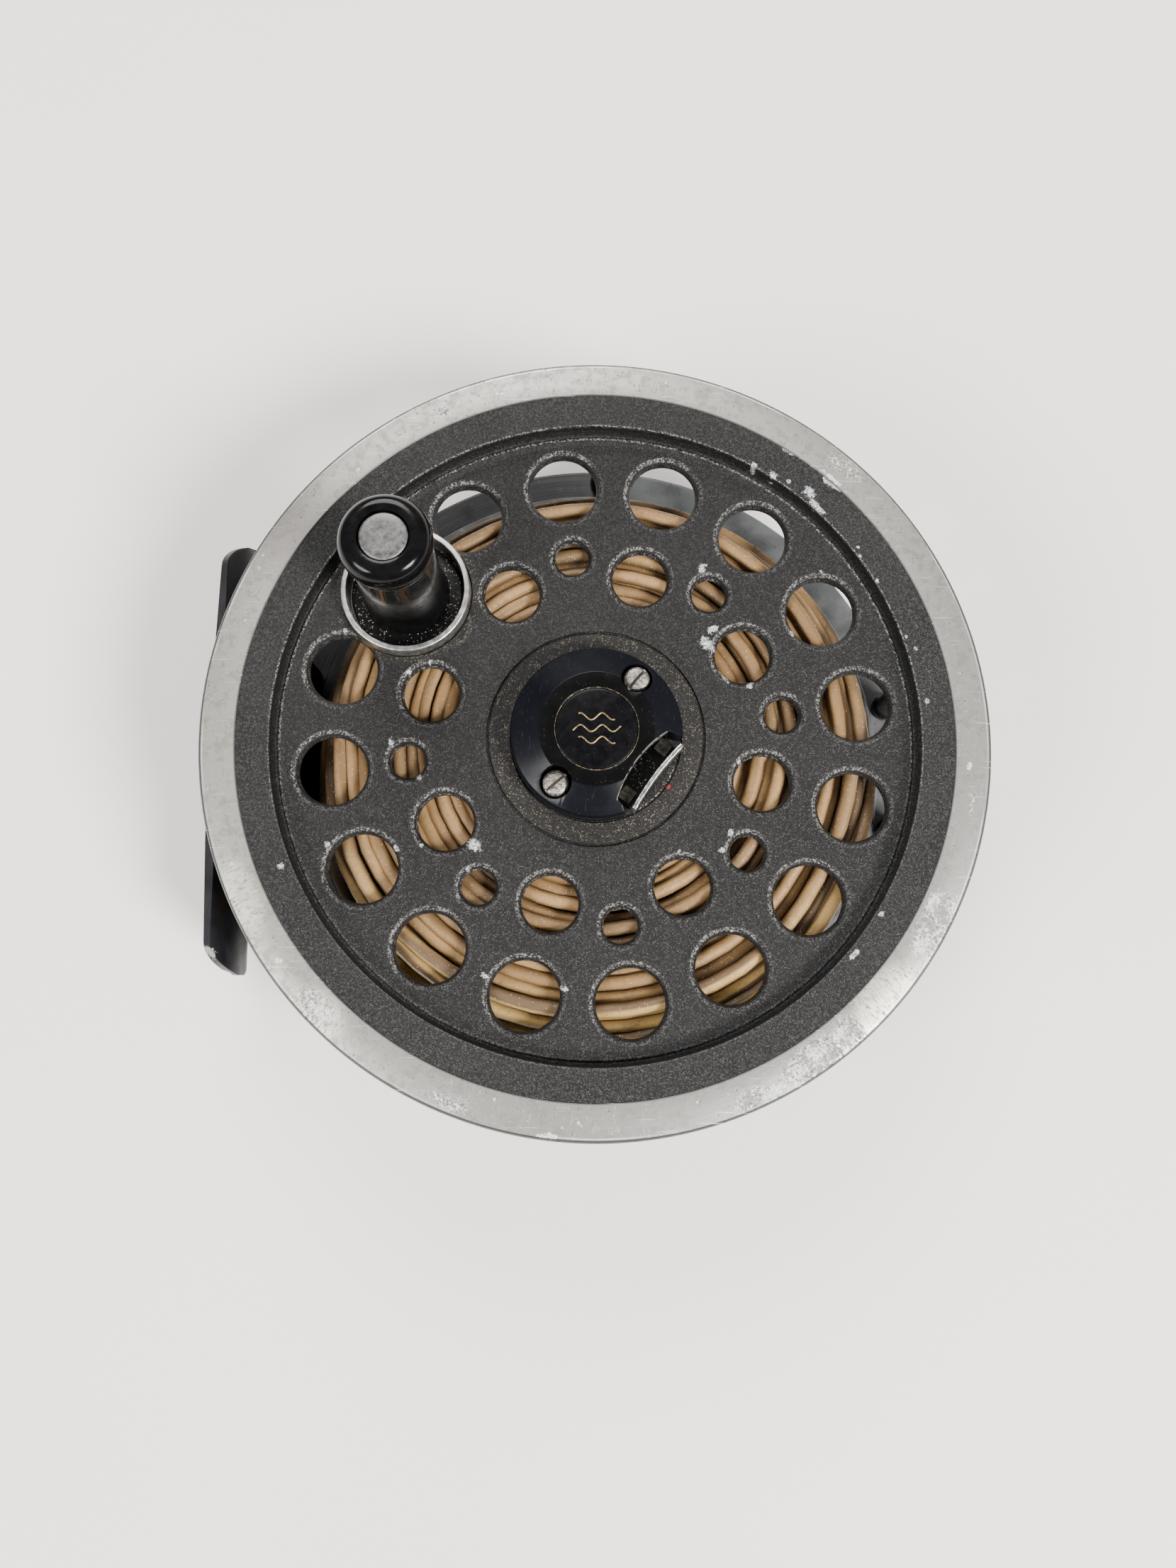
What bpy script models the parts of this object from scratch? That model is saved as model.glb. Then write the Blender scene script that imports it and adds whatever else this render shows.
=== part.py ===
"""Fly reel with a removable, exposed-rim spool, lying on its back.

The reel stands on the rim of its rear plate at z = 0. The spindle rises along +Z to the
handle side, and the reel foot is on the -X side. Driving sizes are in millimetres.
"""

import math

import bmesh
import bpy
from mathutils import Matrix, Vector

MM = 0.001

# Clearances
FIT_GAP = 0.3            # between pieces that touch in the real reel
RUN_GAP = 0.2            # between a post and the piece that turns on it

# Frame
PLATE_R = 44.6
PLATE_TOP = 5.6
PLATE_BEAD_R = 39.5      # the rear rim that the reel rests on runs from here outwards
PLATE_REAR = 2.0         # rear face inside the bead
PLATE_FLOOR = 3.4        # floor of the click chamber
CHAMBER_R = 33.0
RING_R_IN = 41.9
RING_R_OUT = 45.6
RING_Z0 = 24.6
RING_Z1 = 28.3
PILLAR_R = 1.75
PILLAR_RING_R = 42.8
PILLAR_ANGLES = (88.0, 12.0, -12.0, -88.0)
SCREW_HEAD_R = 1.5
SPINDLE_R = 2.4
SPINDLE_TOP = 31.2
REAR_BOSS_R = 7.0

# Reel foot and its block
BLOCK_HALF_LENGTH = 14.0
BLOCK_R_IN = 41.2
BLOCK_FACE_X = -46.6
FOOT_MID_Z = 12.5
FOOT_HALF_WIDTH = 8.0
FOOT_HALF_LENGTH = 29.2
FOOT_FLAT_HALF = 1.2
FOOT_CURVE_R = 12.0
FOOT_THICKNESS = 1.8
FOOT_INNER_X = BLOCK_FACE_X - FIT_GAP
FOOT_SCREW_Y = 8.0
FOOT_SCREW_R = 2.0

# Spool
RIM_R = 49.0
RIM_Z = 30.0
RIM_EDGE_R = 44.5
RIM_EDGE_Z = 30.65
RIM_SKIRT_R = 46.2
RIM_SKIRT_Z = 24.2
FACE_Z = 28.0
FACE_BACK_Z = 26.7
RIDGE_R = 39.4
GROOVE_R = 40.1
HUB_LINE_R = 13.57
REAR_FLANGE_R = 40.2
REAR_FLANGE_Z0 = 6.1
REAR_FLANGE_Z1 = 7.3
DRUM_R = 13.6
DRUM_BORE_R = 11.8
BUSH_R = 4.6
LINE_R = 37.0

# Flange holes: sixteen places, the first one taken by the handle
HOLE_PLACES = 16
HANDLE_ANGLE = 142.26
OUTER_HOLE_RING_R = 33.0
OUTER_HOLE_R = 4.38
MIDDLE_HOLE_RING_R = 21.45
MIDDLE_HOLE_R = 3.6
SMALL_HOLE_RING_R = 23.6
SMALL_HOLE_R = 2.27

# Handle
HANDLE_RING_R = 30.3
HANDLE_RECESS_R = 8.45
HANDLE_WASHER_R = 8.15
HANDLE_WASHER_BORE_R = 7.35
HANDLE_PIN_R = 1.6
HANDLE_HEAD_R = 2.8
KNOB_BASE_Z = 28.3
KNOB_TOP_Z = 49.0
KNOB_SEAT_Z = 46.9       # floor of the counterbore that takes the pin's head
HANDLE_HEAD_TOP = 48.8

# Hub cap and spool latch
CAP_R = 10.6
CAP_EDGE_Z = 31.4
CAP_BOSS_R = 7.0
CAP_BOSS_Z = 33.6
BADGE_R = 4.8
HUB_SCREW_HEAD_R = 1.65
HUB_SCREW_RING_R = 8.1
HUB_SCREW_ANGLE = 52.5
LATCH_ANGLE = -37.0
LATCH_TAB_R = 9.1
LATCH_TAB_HALF = 5.0
LATCH_TAB_T = 0.75
LATCH_PLATE_HALF = 4.6
LATCH_PLATE_Z0 = 28.5
LATCH_PLATE_Z1 = 29.3
LATCH_LUG_Z = 30.6
LATCH_TRAVEL = 1.6
NOTCH_R = 6.6
NOTCH_HALF = 5.6

# Click
GEAR_TEETH = 24
GEAR_R = 11.0
GEAR_ROOT_R = 9.6
PAWL_POST = (-9.0, -12.0)
PAWL_POST_R = 1.2
SPRING_POST = (9.0, -20.0)
SPRING_POST_R = 1.3
DRAG_POST = (17.5, -21.5)
DRAG_KNOB_R = 6.0
DRAG_STEM_R = 1.8

HANDLE_XY = (HANDLE_RING_R * math.cos(math.radians(HANDLE_ANGLE)),
             HANDLE_RING_R * math.sin(math.radians(HANDLE_ANGLE)))


def clear_scene():
    for obj in list(bpy.data.objects):
        bpy.data.objects.remove(obj, do_unlink=True)


clear_scene()
PARTS = bpy.data.collections.new("fly_reel")
CUTTERS = bpy.data.collections.new("fly_reel_cutters")
bpy.context.scene.collection.children.link(PARTS)
bpy.context.scene.collection.children.link(CUTTERS)


def material(name, colour, roughness, metallic):
    mat = bpy.data.materials.new(name)
    mat.use_nodes = True
    mat.diffuse_color = (*colour, 1.0)
    shader = mat.node_tree.nodes["Principled BSDF"]
    shader.inputs["Base Color"].default_value = (*colour, 1.0)
    shader.inputs["Roughness"].default_value = roughness
    shader.inputs["Metallic"].default_value = metallic
    return mat


def polar(radius, degrees):
    angle = math.radians(degrees)
    return radius * math.cos(angle), radius * math.sin(angle)


def place(obj, mat=None, centre=(0.0, 0.0), collection=None):
    """Link an object, move it to its own axis and give it its material."""
    obj.location = (centre[0] * MM, centre[1] * MM, 0.0)
    (collection or PARTS).objects.link(obj)
    if mat is not None:
        obj.data.materials.append(mat)
    return obj


def turned(name, profile, mat=None, centre=(0.0, 0.0), steps=48, collection=None):
    """Turn a profile of (radius, z) about Z; it runs down the outer side, top to bottom."""
    on_axis = profile[0][0] == 0.0
    mesh = bpy.data.meshes.new(name)
    edges = [(i, i + 1) for i in range(len(profile) - 1)]
    if not on_axis:
        edges.append((len(profile) - 1, 0))
    mesh.from_pydata([(r * MM, 0.0, z * MM) for r, z in profile], edges, [])
    obj = place(bpy.data.objects.new(name, mesh), mat, centre, collection)
    screw = obj.modifiers.new("turn", "SCREW")
    screw.axis = "Z"
    screw.steps = steps
    screw.render_steps = steps
    screw.use_merge_vertices = True
    screw.merge_threshold = 0.00001
    screw.use_smooth_shade = True
    return obj


def tube_profile(r_in, r_out, z0, z1, chamfer=0.2):
    """A plain ring with its outer edges broken."""
    return [(r_out - chamfer, z1), (r_out, z1 - chamfer), (r_out, z0 + chamfer),
            (r_out - chamfer, z0), (r_in, z0), (r_in, z1)]


def disc_profile(radius, z0, z1, chamfer=0.2):
    return [(0.0, z1), (radius - chamfer, z1), (radius, z1 - chamfer),
            (radius, z0 + chamfer), (radius - chamfer, z0), (0.0, z0)]


def flat(name, outlines, z0, z1, mat=None, centre=(0.0, 0.0), collection=None):
    """A flat piece from closed outlines in the XY plane; later outlines are its holes."""
    curve = bpy.data.curves.new(name, "CURVE")
    curve.dimensions = "2D"
    curve.fill_mode = "BOTH"
    curve.extrude = (z1 - z0) * MM / 2
    for outline in outlines:
        spline = curve.splines.new("POLY")
        spline.points.add(len(outline) - 1)
        for point, (x, y) in zip(spline.points, outline):
            point.co = (x * MM, y * MM, 0.0, 1.0)
        spline.use_cyclic_u = True
    obj = bpy.data.objects.new(name, curve)
    place(obj, mat, centre, collection)
    obj.location.z = (z0 + z1) * MM / 2
    return obj


def arc(radius, start, end, count, centre=(0.0, 0.0)):
    """Points along an arc, in degrees."""
    points = []
    for i in range(count):
        x, y = polar(radius, start + (end - start) * i / (count - 1))
        points.append((centre[0] + x, centre[1] + y))
    return points


def circle(radius, count=24, centre=(0.0, 0.0)):
    return arc(radius, 0.0, 360.0 * (count - 1) / count, count, centre)


def as_mesh(obj):
    """Replace a curve object by a mesh object with its caps welded."""
    bpy.context.view_layer.update()
    evaluated = obj.evaluated_get(bpy.context.evaluated_depsgraph_get())
    mesh = bpy.data.meshes.new_from_object(evaluated)
    shape = bmesh.new()
    shape.from_mesh(mesh)
    bmesh.ops.remove_doubles(shape, verts=shape.verts, dist=0.000005)
    shape.to_mesh(mesh)
    shape.free()
    name = obj.name
    matrix = obj.matrix_world.copy()
    home = obj.users_collection[0]
    bpy.data.objects.remove(obj, do_unlink=True)
    solid = bpy.data.objects.new(name, mesh)
    home.objects.link(solid)
    solid.matrix_world = matrix
    return solid


def cylinders(name, places, z0, z1, sides=24):
    """One cutter made of upright cylinders: places holds (x, y, radius)."""
    mesh = bpy.data.meshes.new(name)
    shape = bmesh.new()
    for x, y, radius in places:
        move = Matrix.Translation((x * MM, y * MM, (z0 + z1) * MM / 2))
        bmesh.ops.create_cone(shape, cap_ends=True, segments=sides, radius1=radius * MM,
                              radius2=radius * MM, depth=(z1 - z0) * MM, matrix=move)
    shape.to_mesh(mesh)
    shape.free()
    return place(bpy.data.objects.new(name, mesh), collection=CUTTERS)


def box(name, size, centre, turn=0.0, collection=None):
    """A box of the given size in mm, turned about Z by degrees round the Z axis."""
    mesh = bpy.data.meshes.new(name)
    shape = bmesh.new()
    scale = Matrix.Diagonal((size[0] * MM, size[1] * MM, size[2] * MM, 1.0))
    move = Matrix.Translation(Vector(centre) * MM)
    spin = Matrix.Rotation(math.radians(turn), 4, "Z")
    bmesh.ops.create_cube(shape, size=1.0, matrix=spin @ move @ scale)
    shape.to_mesh(mesh)
    shape.free()
    return place(bpy.data.objects.new(name, mesh), collection=collection or CUTTERS)


def boolean(obj, cutter, operation="DIFFERENCE"):
    modifier = obj.modifiers.new(cutter.name, "BOOLEAN")
    modifier.operation = operation
    modifier.solver = "EXACT"
    modifier.object = cutter
    cutter.hide_render = True
    cutter.display_type = "WIRE"
    return obj


def slotted(obj, size, centre, turn=0.0):
    """Cut a screwdriver slot."""
    return boolean(obj, box(obj.name + "_slot", size, centre, turn))


# Materials
BLACK_ENAMEL = material("black_enamel", (0.010, 0.011, 0.014), 0.30, 0.0)
GREY_SATIN = material("grey_satin", (0.17, 0.18, 0.20), 0.35, 0.6)
WRINKLE_GREY = material("wrinkle_grey", (0.058, 0.055, 0.053), 0.55, 0.2)
BARE_RIM = material("bare_rim", (0.56, 0.56, 0.53), 0.38, 1.0)
STEEL = material("steel", (0.52, 0.51, 0.49), 0.35, 1.0)
BRASS = material("brass", (0.55, 0.38, 0.14), 0.35, 1.0)
BLACK_PLASTIC = material("black_plastic", (0.008, 0.008, 0.009), 0.12, 0.0)
BADGE_BLACK = material("badge_black", (0.006, 0.006, 0.008), 0.25, 0.0)
LINE_TAN = material("line_tan", (0.52, 0.33, 0.15), 0.6, 0.0)


# Frame
def build_back_plate():
    plate = turned("back_plate", [
        (PLATE_R - 0.5, PLATE_TOP), (PLATE_R, PLATE_TOP - 0.4), (PLATE_R, 0.6),
        (PLATE_R - 0.6, 0.0), (PLATE_BEAD_R + 0.4, 0.0), (PLATE_BEAD_R, PLATE_REAR),
        (SPINDLE_R + FIT_GAP, PLATE_REAR), (SPINDLE_R + FIT_GAP, PLATE_FLOOR),
        (CHAMBER_R, PLATE_FLOOR), (CHAMBER_R, PLATE_TOP),
    ], BLACK_ENAMEL, steps=60)
    pockets = [(*polar(PILLAR_RING_R - 0.9, a), SCREW_HEAD_R + FIT_GAP) for a in PILLAR_ANGLES]
    boolean(plate, cylinders("pillar_screw_pockets", pockets, -0.5, 1.5, sides=16))
    stem_hole = [(*DRAG_POST, DRAG_STEM_R + RUN_GAP)]
    boolean(plate, cylinders("drag_stem_hole", stem_hole, 1.0, 4.5))


def build_front_ring():
    turned("front_ring", tube_profile(RING_R_IN, RING_R_OUT, RING_Z0, RING_Z1, 0.5),
           BLACK_ENAMEL, steps=60)


def build_pillars():
    for number, angle in enumerate(PILLAR_ANGLES, 1):
        turned(f"pillar_{number}",
               [(0.0, RING_Z0 - FIT_GAP), (PILLAR_R + 0.1, RING_Z0 - FIT_GAP),
                (PILLAR_R + 0.1, RING_Z0 - 0.9), (PILLAR_R - 0.15, RING_Z0 - 1.8),
                (PILLAR_R - 0.15, PLATE_TOP + 2.0), (PILLAR_R + 0.1, PLATE_TOP + 1.1),
                (PILLAR_R + 0.1, PLATE_TOP + FIT_GAP), (0.0, PLATE_TOP + FIT_GAP)],
               BLACK_ENAMEL, centre=polar(PILLAR_RING_R, angle), steps=16)


def build_pillar_screws():
    for number, angle in enumerate(PILLAR_ANGLES, 1):
        x, y = polar(PILLAR_RING_R - 0.9, angle)
        screw = turned(f"pillar_screw_{number}", disc_profile(SCREW_HEAD_R, 0.1, 1.2, 0.15),
                       STEEL, centre=(x, y), steps=20)
        slotted(screw, (4.0, 0.45, 0.9), (x, y, 0.1))


def build_foot_block():
    inner = arc(BLOCK_R_IN, 180.0 - 19.5, 180.0 + 19.5, 13)
    outline = inner + [(BLOCK_FACE_X + 1.0, -BLOCK_HALF_LENGTH), (BLOCK_FACE_X, -BLOCK_HALF_LENGTH + 1.0),
                       (BLOCK_FACE_X, BLOCK_HALF_LENGTH - 1.0), (BLOCK_FACE_X + 1.0, BLOCK_HALF_LENGTH)]
    flat("foot_block", [outline], PLATE_TOP + FIT_GAP, RIM_SKIRT_Z - 0.4, BLACK_ENAMEL)


def foot_width_factor(along):
    """Half width of the foot, 0 to 1, at a place along its length of -1 to 1."""
    start = 0.86
    if abs(along) < start:
        return 1.0
    t = (abs(along) - start) / (1.0 - start)
    return math.sqrt(max(1.0 - 0.75 * t * t, 0.0))


def foot_hollow(across):
    """How far the foot's face falls back, in mm, at a distance across from its middle."""
    over = max(abs(across) - FOOT_FLAT_HALF, 0.0)
    return FOOT_CURVE_R - math.sqrt(FOOT_CURVE_R ** 2 - over ** 2)


def build_reel_foot():
    """A saddle: a grid bent across its width, rounded at both ends and thickened."""
    mesh = bpy.data.meshes.new("reel_foot")
    shape = bmesh.new()
    bmesh.ops.create_grid(shape, x_segments=20, y_segments=9, size=0.5)
    for vert in shape.verts:
        along = vert.co.x * 2.0
        across = vert.co.y * 2.0
        width = FOOT_HALF_WIDTH * foot_width_factor(along)
        if abs(across) < 0.15:
            z = math.copysign(FOOT_FLAT_HALF, across)
        else:
            t = (abs(across) - 1.0 / 9.0) / (1.0 - 1.0 / 9.0)
            z = math.copysign(FOOT_FLAT_HALF + t * (width - FOOT_FLAT_HALF), across)
        vert.co = (FOOT_INNER_X - foot_hollow(z), along * FOOT_HALF_LENGTH, z)
        vert.co *= MM
    shape.to_mesh(mesh)
    shape.free()
    foot = place(bpy.data.objects.new("reel_foot", mesh), BLACK_ENAMEL)
    foot.location.z = FOOT_MID_Z * MM
    thin = foot.vertex_groups.new(name="thickness")
    for vert in mesh.vertices:
        along = abs(vert.co.y) / (FOOT_HALF_LENGTH * MM)
        thin.add([vert.index], 1.0 - 0.45 * max(along - 0.4, 0.0) / 0.6, "REPLACE")
    solid = foot.modifiers.new("thickness", "SOLIDIFY")
    solid.thickness = FOOT_THICKNESS * MM
    solid.offset = -1.0
    solid.vertex_group = "thickness"
    solid.use_even_offset = True
    edge = foot.modifiers.new("edge", "BEVEL")
    edge.width = 0.25 * MM
    edge.segments = 1
    edge.angle_limit = math.radians(50.0)
    pocket = bpy.data.meshes.new("foot_screw_pockets")
    shape = bmesh.new()
    for y in (FOOT_SCREW_Y, -FOOT_SCREW_Y):
        turn = Matrix.Rotation(math.radians(90.0), 4, "Y")
        move = Matrix.Translation((-50.0 * MM, y * MM, FOOT_MID_Z * MM))
        bmesh.ops.create_cone(shape, cap_ends=True, segments=24, radius1=(FOOT_SCREW_R + FIT_GAP) * MM,
                              radius2=(FOOT_SCREW_R + FIT_GAP) * MM, depth=4.6 * MM, matrix=move @ turn)
    shape.to_mesh(pocket)
    shape.free()
    boolean(foot, place(bpy.data.objects.new("foot_screw_pockets", pocket), collection=CUTTERS))


def build_foot_screws():
    for number, y in enumerate((FOOT_SCREW_Y, -FOOT_SCREW_Y), 1):
        screw = turned(f"foot_screw_{number}", disc_profile(FOOT_SCREW_R, 48.0, 48.8, 0.15), STEEL, steps=24)
        screw.location = (0.0, y * MM, FOOT_MID_Z * MM)
        screw.rotation_euler = (0.0, math.radians(-90.0), 0.0)
        slotted(screw, (1.0, 0.5, 6.0), (-48.9, y, FOOT_MID_Z))


def build_spindle():
    turned("spindle", [(0.0, SPINDLE_TOP), (SPINDLE_R - 0.6, SPINDLE_TOP), (SPINDLE_R, SPINDLE_TOP - 0.6),
                       (SPINDLE_R, 30.0), (SPINDLE_R - 0.4, 29.8), (SPINDLE_R - 0.4, 28.3),
                       (SPINDLE_R, 28.1), (SPINDLE_R, PLATE_REAR), (0.0, PLATE_REAR)],
           STEEL, steps=32)


def build_rear_boss():
    turned("rear_boss", disc_profile(REAR_BOSS_R, 0.0, PLATE_REAR - FIT_GAP, 0.4), STEEL, steps=40)


def build_click_posts():
    turned("pawl_post", disc_profile(PAWL_POST_R, PLATE_FLOOR + FIT_GAP, 5.8, 0.1), STEEL,
           centre=PAWL_POST, steps=20)
    turned("spring_post", disc_profile(SPRING_POST_R, PLATE_FLOOR + FIT_GAP, 5.7, 0.1), STEEL,
           centre=SPRING_POST, steps=20)


def build_click_spring():
    """A hairpin: one leg behind the pawl, a turn on the post, one leg at the regulator's cam."""
    wire_r = 0.35
    bend = arc(SPRING_POST_R + wire_r + RUN_GAP, 140.0, -60.0, 12)
    points = [(-7.6, 4.9), (-4.2, 3.4)] + bend + [(4.6, -4.2), (5.8, -3.4), (5.8, -0.8)]
    curve = bpy.data.curves.new("click_spring", "CURVE")
    curve.dimensions = "3D"
    curve.bevel_depth = wire_r * MM
    curve.bevel_resolution = 2
    curve.use_fill_caps = True
    spline = curve.splines.new("POLY")
    spline.points.add(len(points) - 1)
    for point, (x, y) in zip(spline.points, points):
        point.co = (x * MM, y * MM, 0.0, 1.0)
    spring = place(bpy.data.objects.new("click_spring", curve), STEEL, SPRING_POST)
    spring.location.z = 4.7 * MM


# Click pawl and regulator
def build_click_pawl():
    boss = arc(2.4, 50.0, 250.0, 13)
    arm = [(10.6, -2.0), (11.2, -1.4), (11.0, -0.2), (9.75, -0.1), (9.0, 2.05), (8.25, -0.1)]
    flat("click_pawl", [boss + arm, circle(PAWL_POST_R + RUN_GAP, 20)], 3.8, 5.6, STEEL, PAWL_POST)


def build_drag_knob():
    """A knurled wheel on the back, its stem through the plate and its cam in the chamber."""
    knob = turned("drag_knob", [
        (0.0, 5.4), (2.6, 5.4), (2.6, PLATE_FLOOR + FIT_GAP), (DRAG_STEM_R, PLATE_FLOOR + FIT_GAP),
        (DRAG_STEM_R, PLATE_REAR - FIT_GAP), (DRAG_KNOB_R - 0.3, PLATE_REAR - FIT_GAP),
        (DRAG_KNOB_R, PLATE_REAR - 0.6), (DRAG_KNOB_R, 0.5), (DRAG_KNOB_R - 0.3, 0.1), (0.0, 0.1),
    ], BLACK_PLASTIC, centre=DRAG_POST, steps=36)
    knurl = []
    for i in range(12):
        x, y = polar(DRAG_KNOB_R + 0.25, i * 30.0)
        knurl.append((DRAG_POST[0] + x, DRAG_POST[1] + y, 0.6))
    boolean(knob, cylinders("drag_knurl", knurl, -0.5, PLATE_REAR, sides=8))
    cam = box("drag_cam_flat", (2.0, 6.0, 1.4), (DRAG_POST[0] - 2.9, DRAG_POST[1], 4.9))
    boolean(knob, cam)


# Spool
def build_spool_rim():
    turned("spool_rim", [
        (RIM_EDGE_R + 0.05, RIM_EDGE_Z), (46.6, RIM_EDGE_Z - 0.2), (RIM_R - 0.35, RIM_Z),
        (RIM_R, RIM_Z - 0.4), (RIM_R, RIM_SKIRT_Z + 0.4), (RIM_R - 0.4, RIM_SKIRT_Z),
        (RIM_SKIRT_R, RIM_SKIRT_Z), (RIM_SKIRT_R, 28.9), (RIM_EDGE_R + 0.05, 28.9),
    ], BARE_RIM, steps=72)


def flange_places():
    """Every hole in the flange as (x, y, radius): the handle's place has none."""
    holes = []
    step = 360.0 / HOLE_PLACES
    for k in range(1, HOLE_PLACES):
        angle = HANDLE_ANGLE + k * step
        holes.append((*polar(OUTER_HOLE_RING_R, angle), OUTER_HOLE_R))
        if k % 2:
            holes.append((*polar(MIDDLE_HOLE_RING_R, angle), MIDDLE_HOLE_R))
        else:
            holes.append((*polar(SMALL_HOLE_RING_R, angle), SMALL_HOLE_R))
    return holes


def build_front_flange():
    flange = turned("spool_front_flange", [
        (RIM_EDGE_R - FIT_GAP, RIM_EDGE_Z - 0.15), (RIM_EDGE_R - FIT_GAP, 28.9), (41.4, 28.9),
        (41.1, FACE_BACK_Z), (BUSH_R + FIT_GAP, FACE_BACK_Z), (BUSH_R + FIT_GAP, FACE_Z),
        (HUB_LINE_R - 0.3, FACE_Z), (HUB_LINE_R - 0.15, FACE_Z - 0.3), (HUB_LINE_R + 0.15, FACE_Z - 0.3),
        (HUB_LINE_R + 0.3, FACE_Z), (RIDGE_R - 1.2, FACE_Z), (RIDGE_R - 0.4, FACE_Z + 0.25),
        (RIDGE_R + 0.1, FACE_Z + 0.25), (RIDGE_R + 0.35, FACE_Z), (GROOVE_R - 0.2, FACE_Z), (GROOVE_R, 29.9),
        (GROOVE_R + 0.3, 30.26),
    ], WRINKLE_GREY, steps=72)
    boolean(flange, cylinders("flange_holes", flange_places(), 25.0, 31.0, sides=20))
    recess = [(*HANDLE_XY, HANDLE_RECESS_R)]
    boolean(flange, cylinders("handle_recess", recess, 25.0, 32.0, sides=32))


def build_rear_flange():
    turned("spool_rear_flange",
           tube_profile(BUSH_R + FIT_GAP, REAR_FLANGE_R, REAR_FLANGE_Z0, REAR_FLANGE_Z1, 0.3),
           GREY_SATIN, steps=60)


def build_drum():
    turned("spool_drum", tube_profile(DRUM_BORE_R, DRUM_R, REAR_FLANGE_Z1 + FIT_GAP,
                                      FACE_BACK_Z - FIT_GAP, 0.2), GREY_SATIN, steps=48)


def build_bush():
    turned("spindle_bush", tube_profile(SPINDLE_R + RUN_GAP, BUSH_R, 4.8, FACE_Z, 0.2), BRASS, steps=32)


def build_thrust_washer():
    turned("thrust_washer", tube_profile(SPINDLE_R + RUN_GAP, BUSH_R - 0.3, PLATE_FLOOR + FIT_GAP, 4.5, 0.1),
           BRASS, steps=32)


def build_ratchet_gear():
    outline = []
    pitch = 360.0 / GEAR_TEETH
    for tooth in range(GEAR_TEETH):
        valley = -90.0 + tooth * pitch
        outline.append(polar(GEAR_ROOT_R, valley - 0.8))
        outline.append(polar(GEAR_ROOT_R, valley + 0.8))
        outline.append(polar(GEAR_R, valley + pitch / 2 - 0.9))
        outline.append(polar(GEAR_R, valley + pitch / 2 + 0.9))
    flat("ratchet_gear", [outline, circle(BUSH_R + FIT_GAP, 32)], 3.8, REAR_FLANGE_Z0 - FIT_GAP, BRASS)


def build_fly_line():
    """The wound line as one crowned ring."""
    z0 = REAR_FLANGE_Z1 + FIT_GAP
    z1 = FACE_BACK_Z - FIT_GAP
    turned("fly_line", [
        (LINE_R - 3.2, z1), (LINE_R - 1.6, z1 - 2.2), (LINE_R - 0.4, z1 - 5.5), (LINE_R, z1 - 9.0),
        (LINE_R, z0 + 5.0), (LINE_R - 0.8, z0 + 1.5), (LINE_R - 2.0, z0),
        (DRUM_R + FIT_GAP, z0), (DRUM_R + FIT_GAP, z1),
    ], LINE_TAN, steps=48)


# Handle
def build_handle_fittings():
    turned("handle_ring", [
        (HANDLE_WASHER_BORE_R + 0.15, 30.2), (HANDLE_WASHER_R - 0.15, 30.2), (HANDLE_WASHER_R, 30.05),
        (HANDLE_WASHER_R, FACE_BACK_Z), (HANDLE_WASHER_BORE_R, FACE_BACK_Z), (HANDLE_WASHER_BORE_R, 30.05),
    ], BARE_RIM, centre=HANDLE_XY, steps=40)
    turned("handle_seat", tube_profile(HANDLE_PIN_R + FIT_GAP, HANDLE_WASHER_BORE_R - FIT_GAP,
                                       FACE_BACK_Z, KNOB_BASE_Z - FIT_GAP, 0.2),
           BLACK_PLASTIC, centre=HANDLE_XY, steps=32)
    turned("handle_pin", [
        (0.0, HANDLE_HEAD_TOP), (HANDLE_HEAD_R - 0.3, HANDLE_HEAD_TOP), (HANDLE_HEAD_R, HANDLE_HEAD_TOP - 0.25),
        (HANDLE_HEAD_R, KNOB_SEAT_Z + FIT_GAP), (HANDLE_PIN_R, KNOB_SEAT_Z + FIT_GAP),
        (HANDLE_PIN_R, FACE_BACK_Z), (0.0, FACE_BACK_Z),
    ], STEEL, centre=HANDLE_XY, steps=24)


def build_handle_knob():
    bore = HANDLE_PIN_R + RUN_GAP
    counterbore = HANDLE_HEAD_R + RUN_GAP
    turned("handle_knob", [
        (counterbore, KNOB_TOP_Z - 0.4), (3.4, KNOB_TOP_Z - 0.1), (3.9, KNOB_TOP_Z), (4.5, 48.8), (5.05, 48.2),
        (5.35, 47.4), (5.42, 46.6), (5.3, 45.7), (4.95, 44.8), (4.75, 44.0), (4.85, 43.2), (5.0, 42.0),
        (5.05, 39.0), (5.15, 35.0), (5.35, 31.5), (5.6, 29.2), (5.7, KNOB_BASE_Z),
        (bore, KNOB_BASE_Z), (bore, KNOB_SEAT_Z), (counterbore, KNOB_SEAT_Z),
    ], BLACK_PLASTIC, centre=HANDLE_XY, steps=32)


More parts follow.
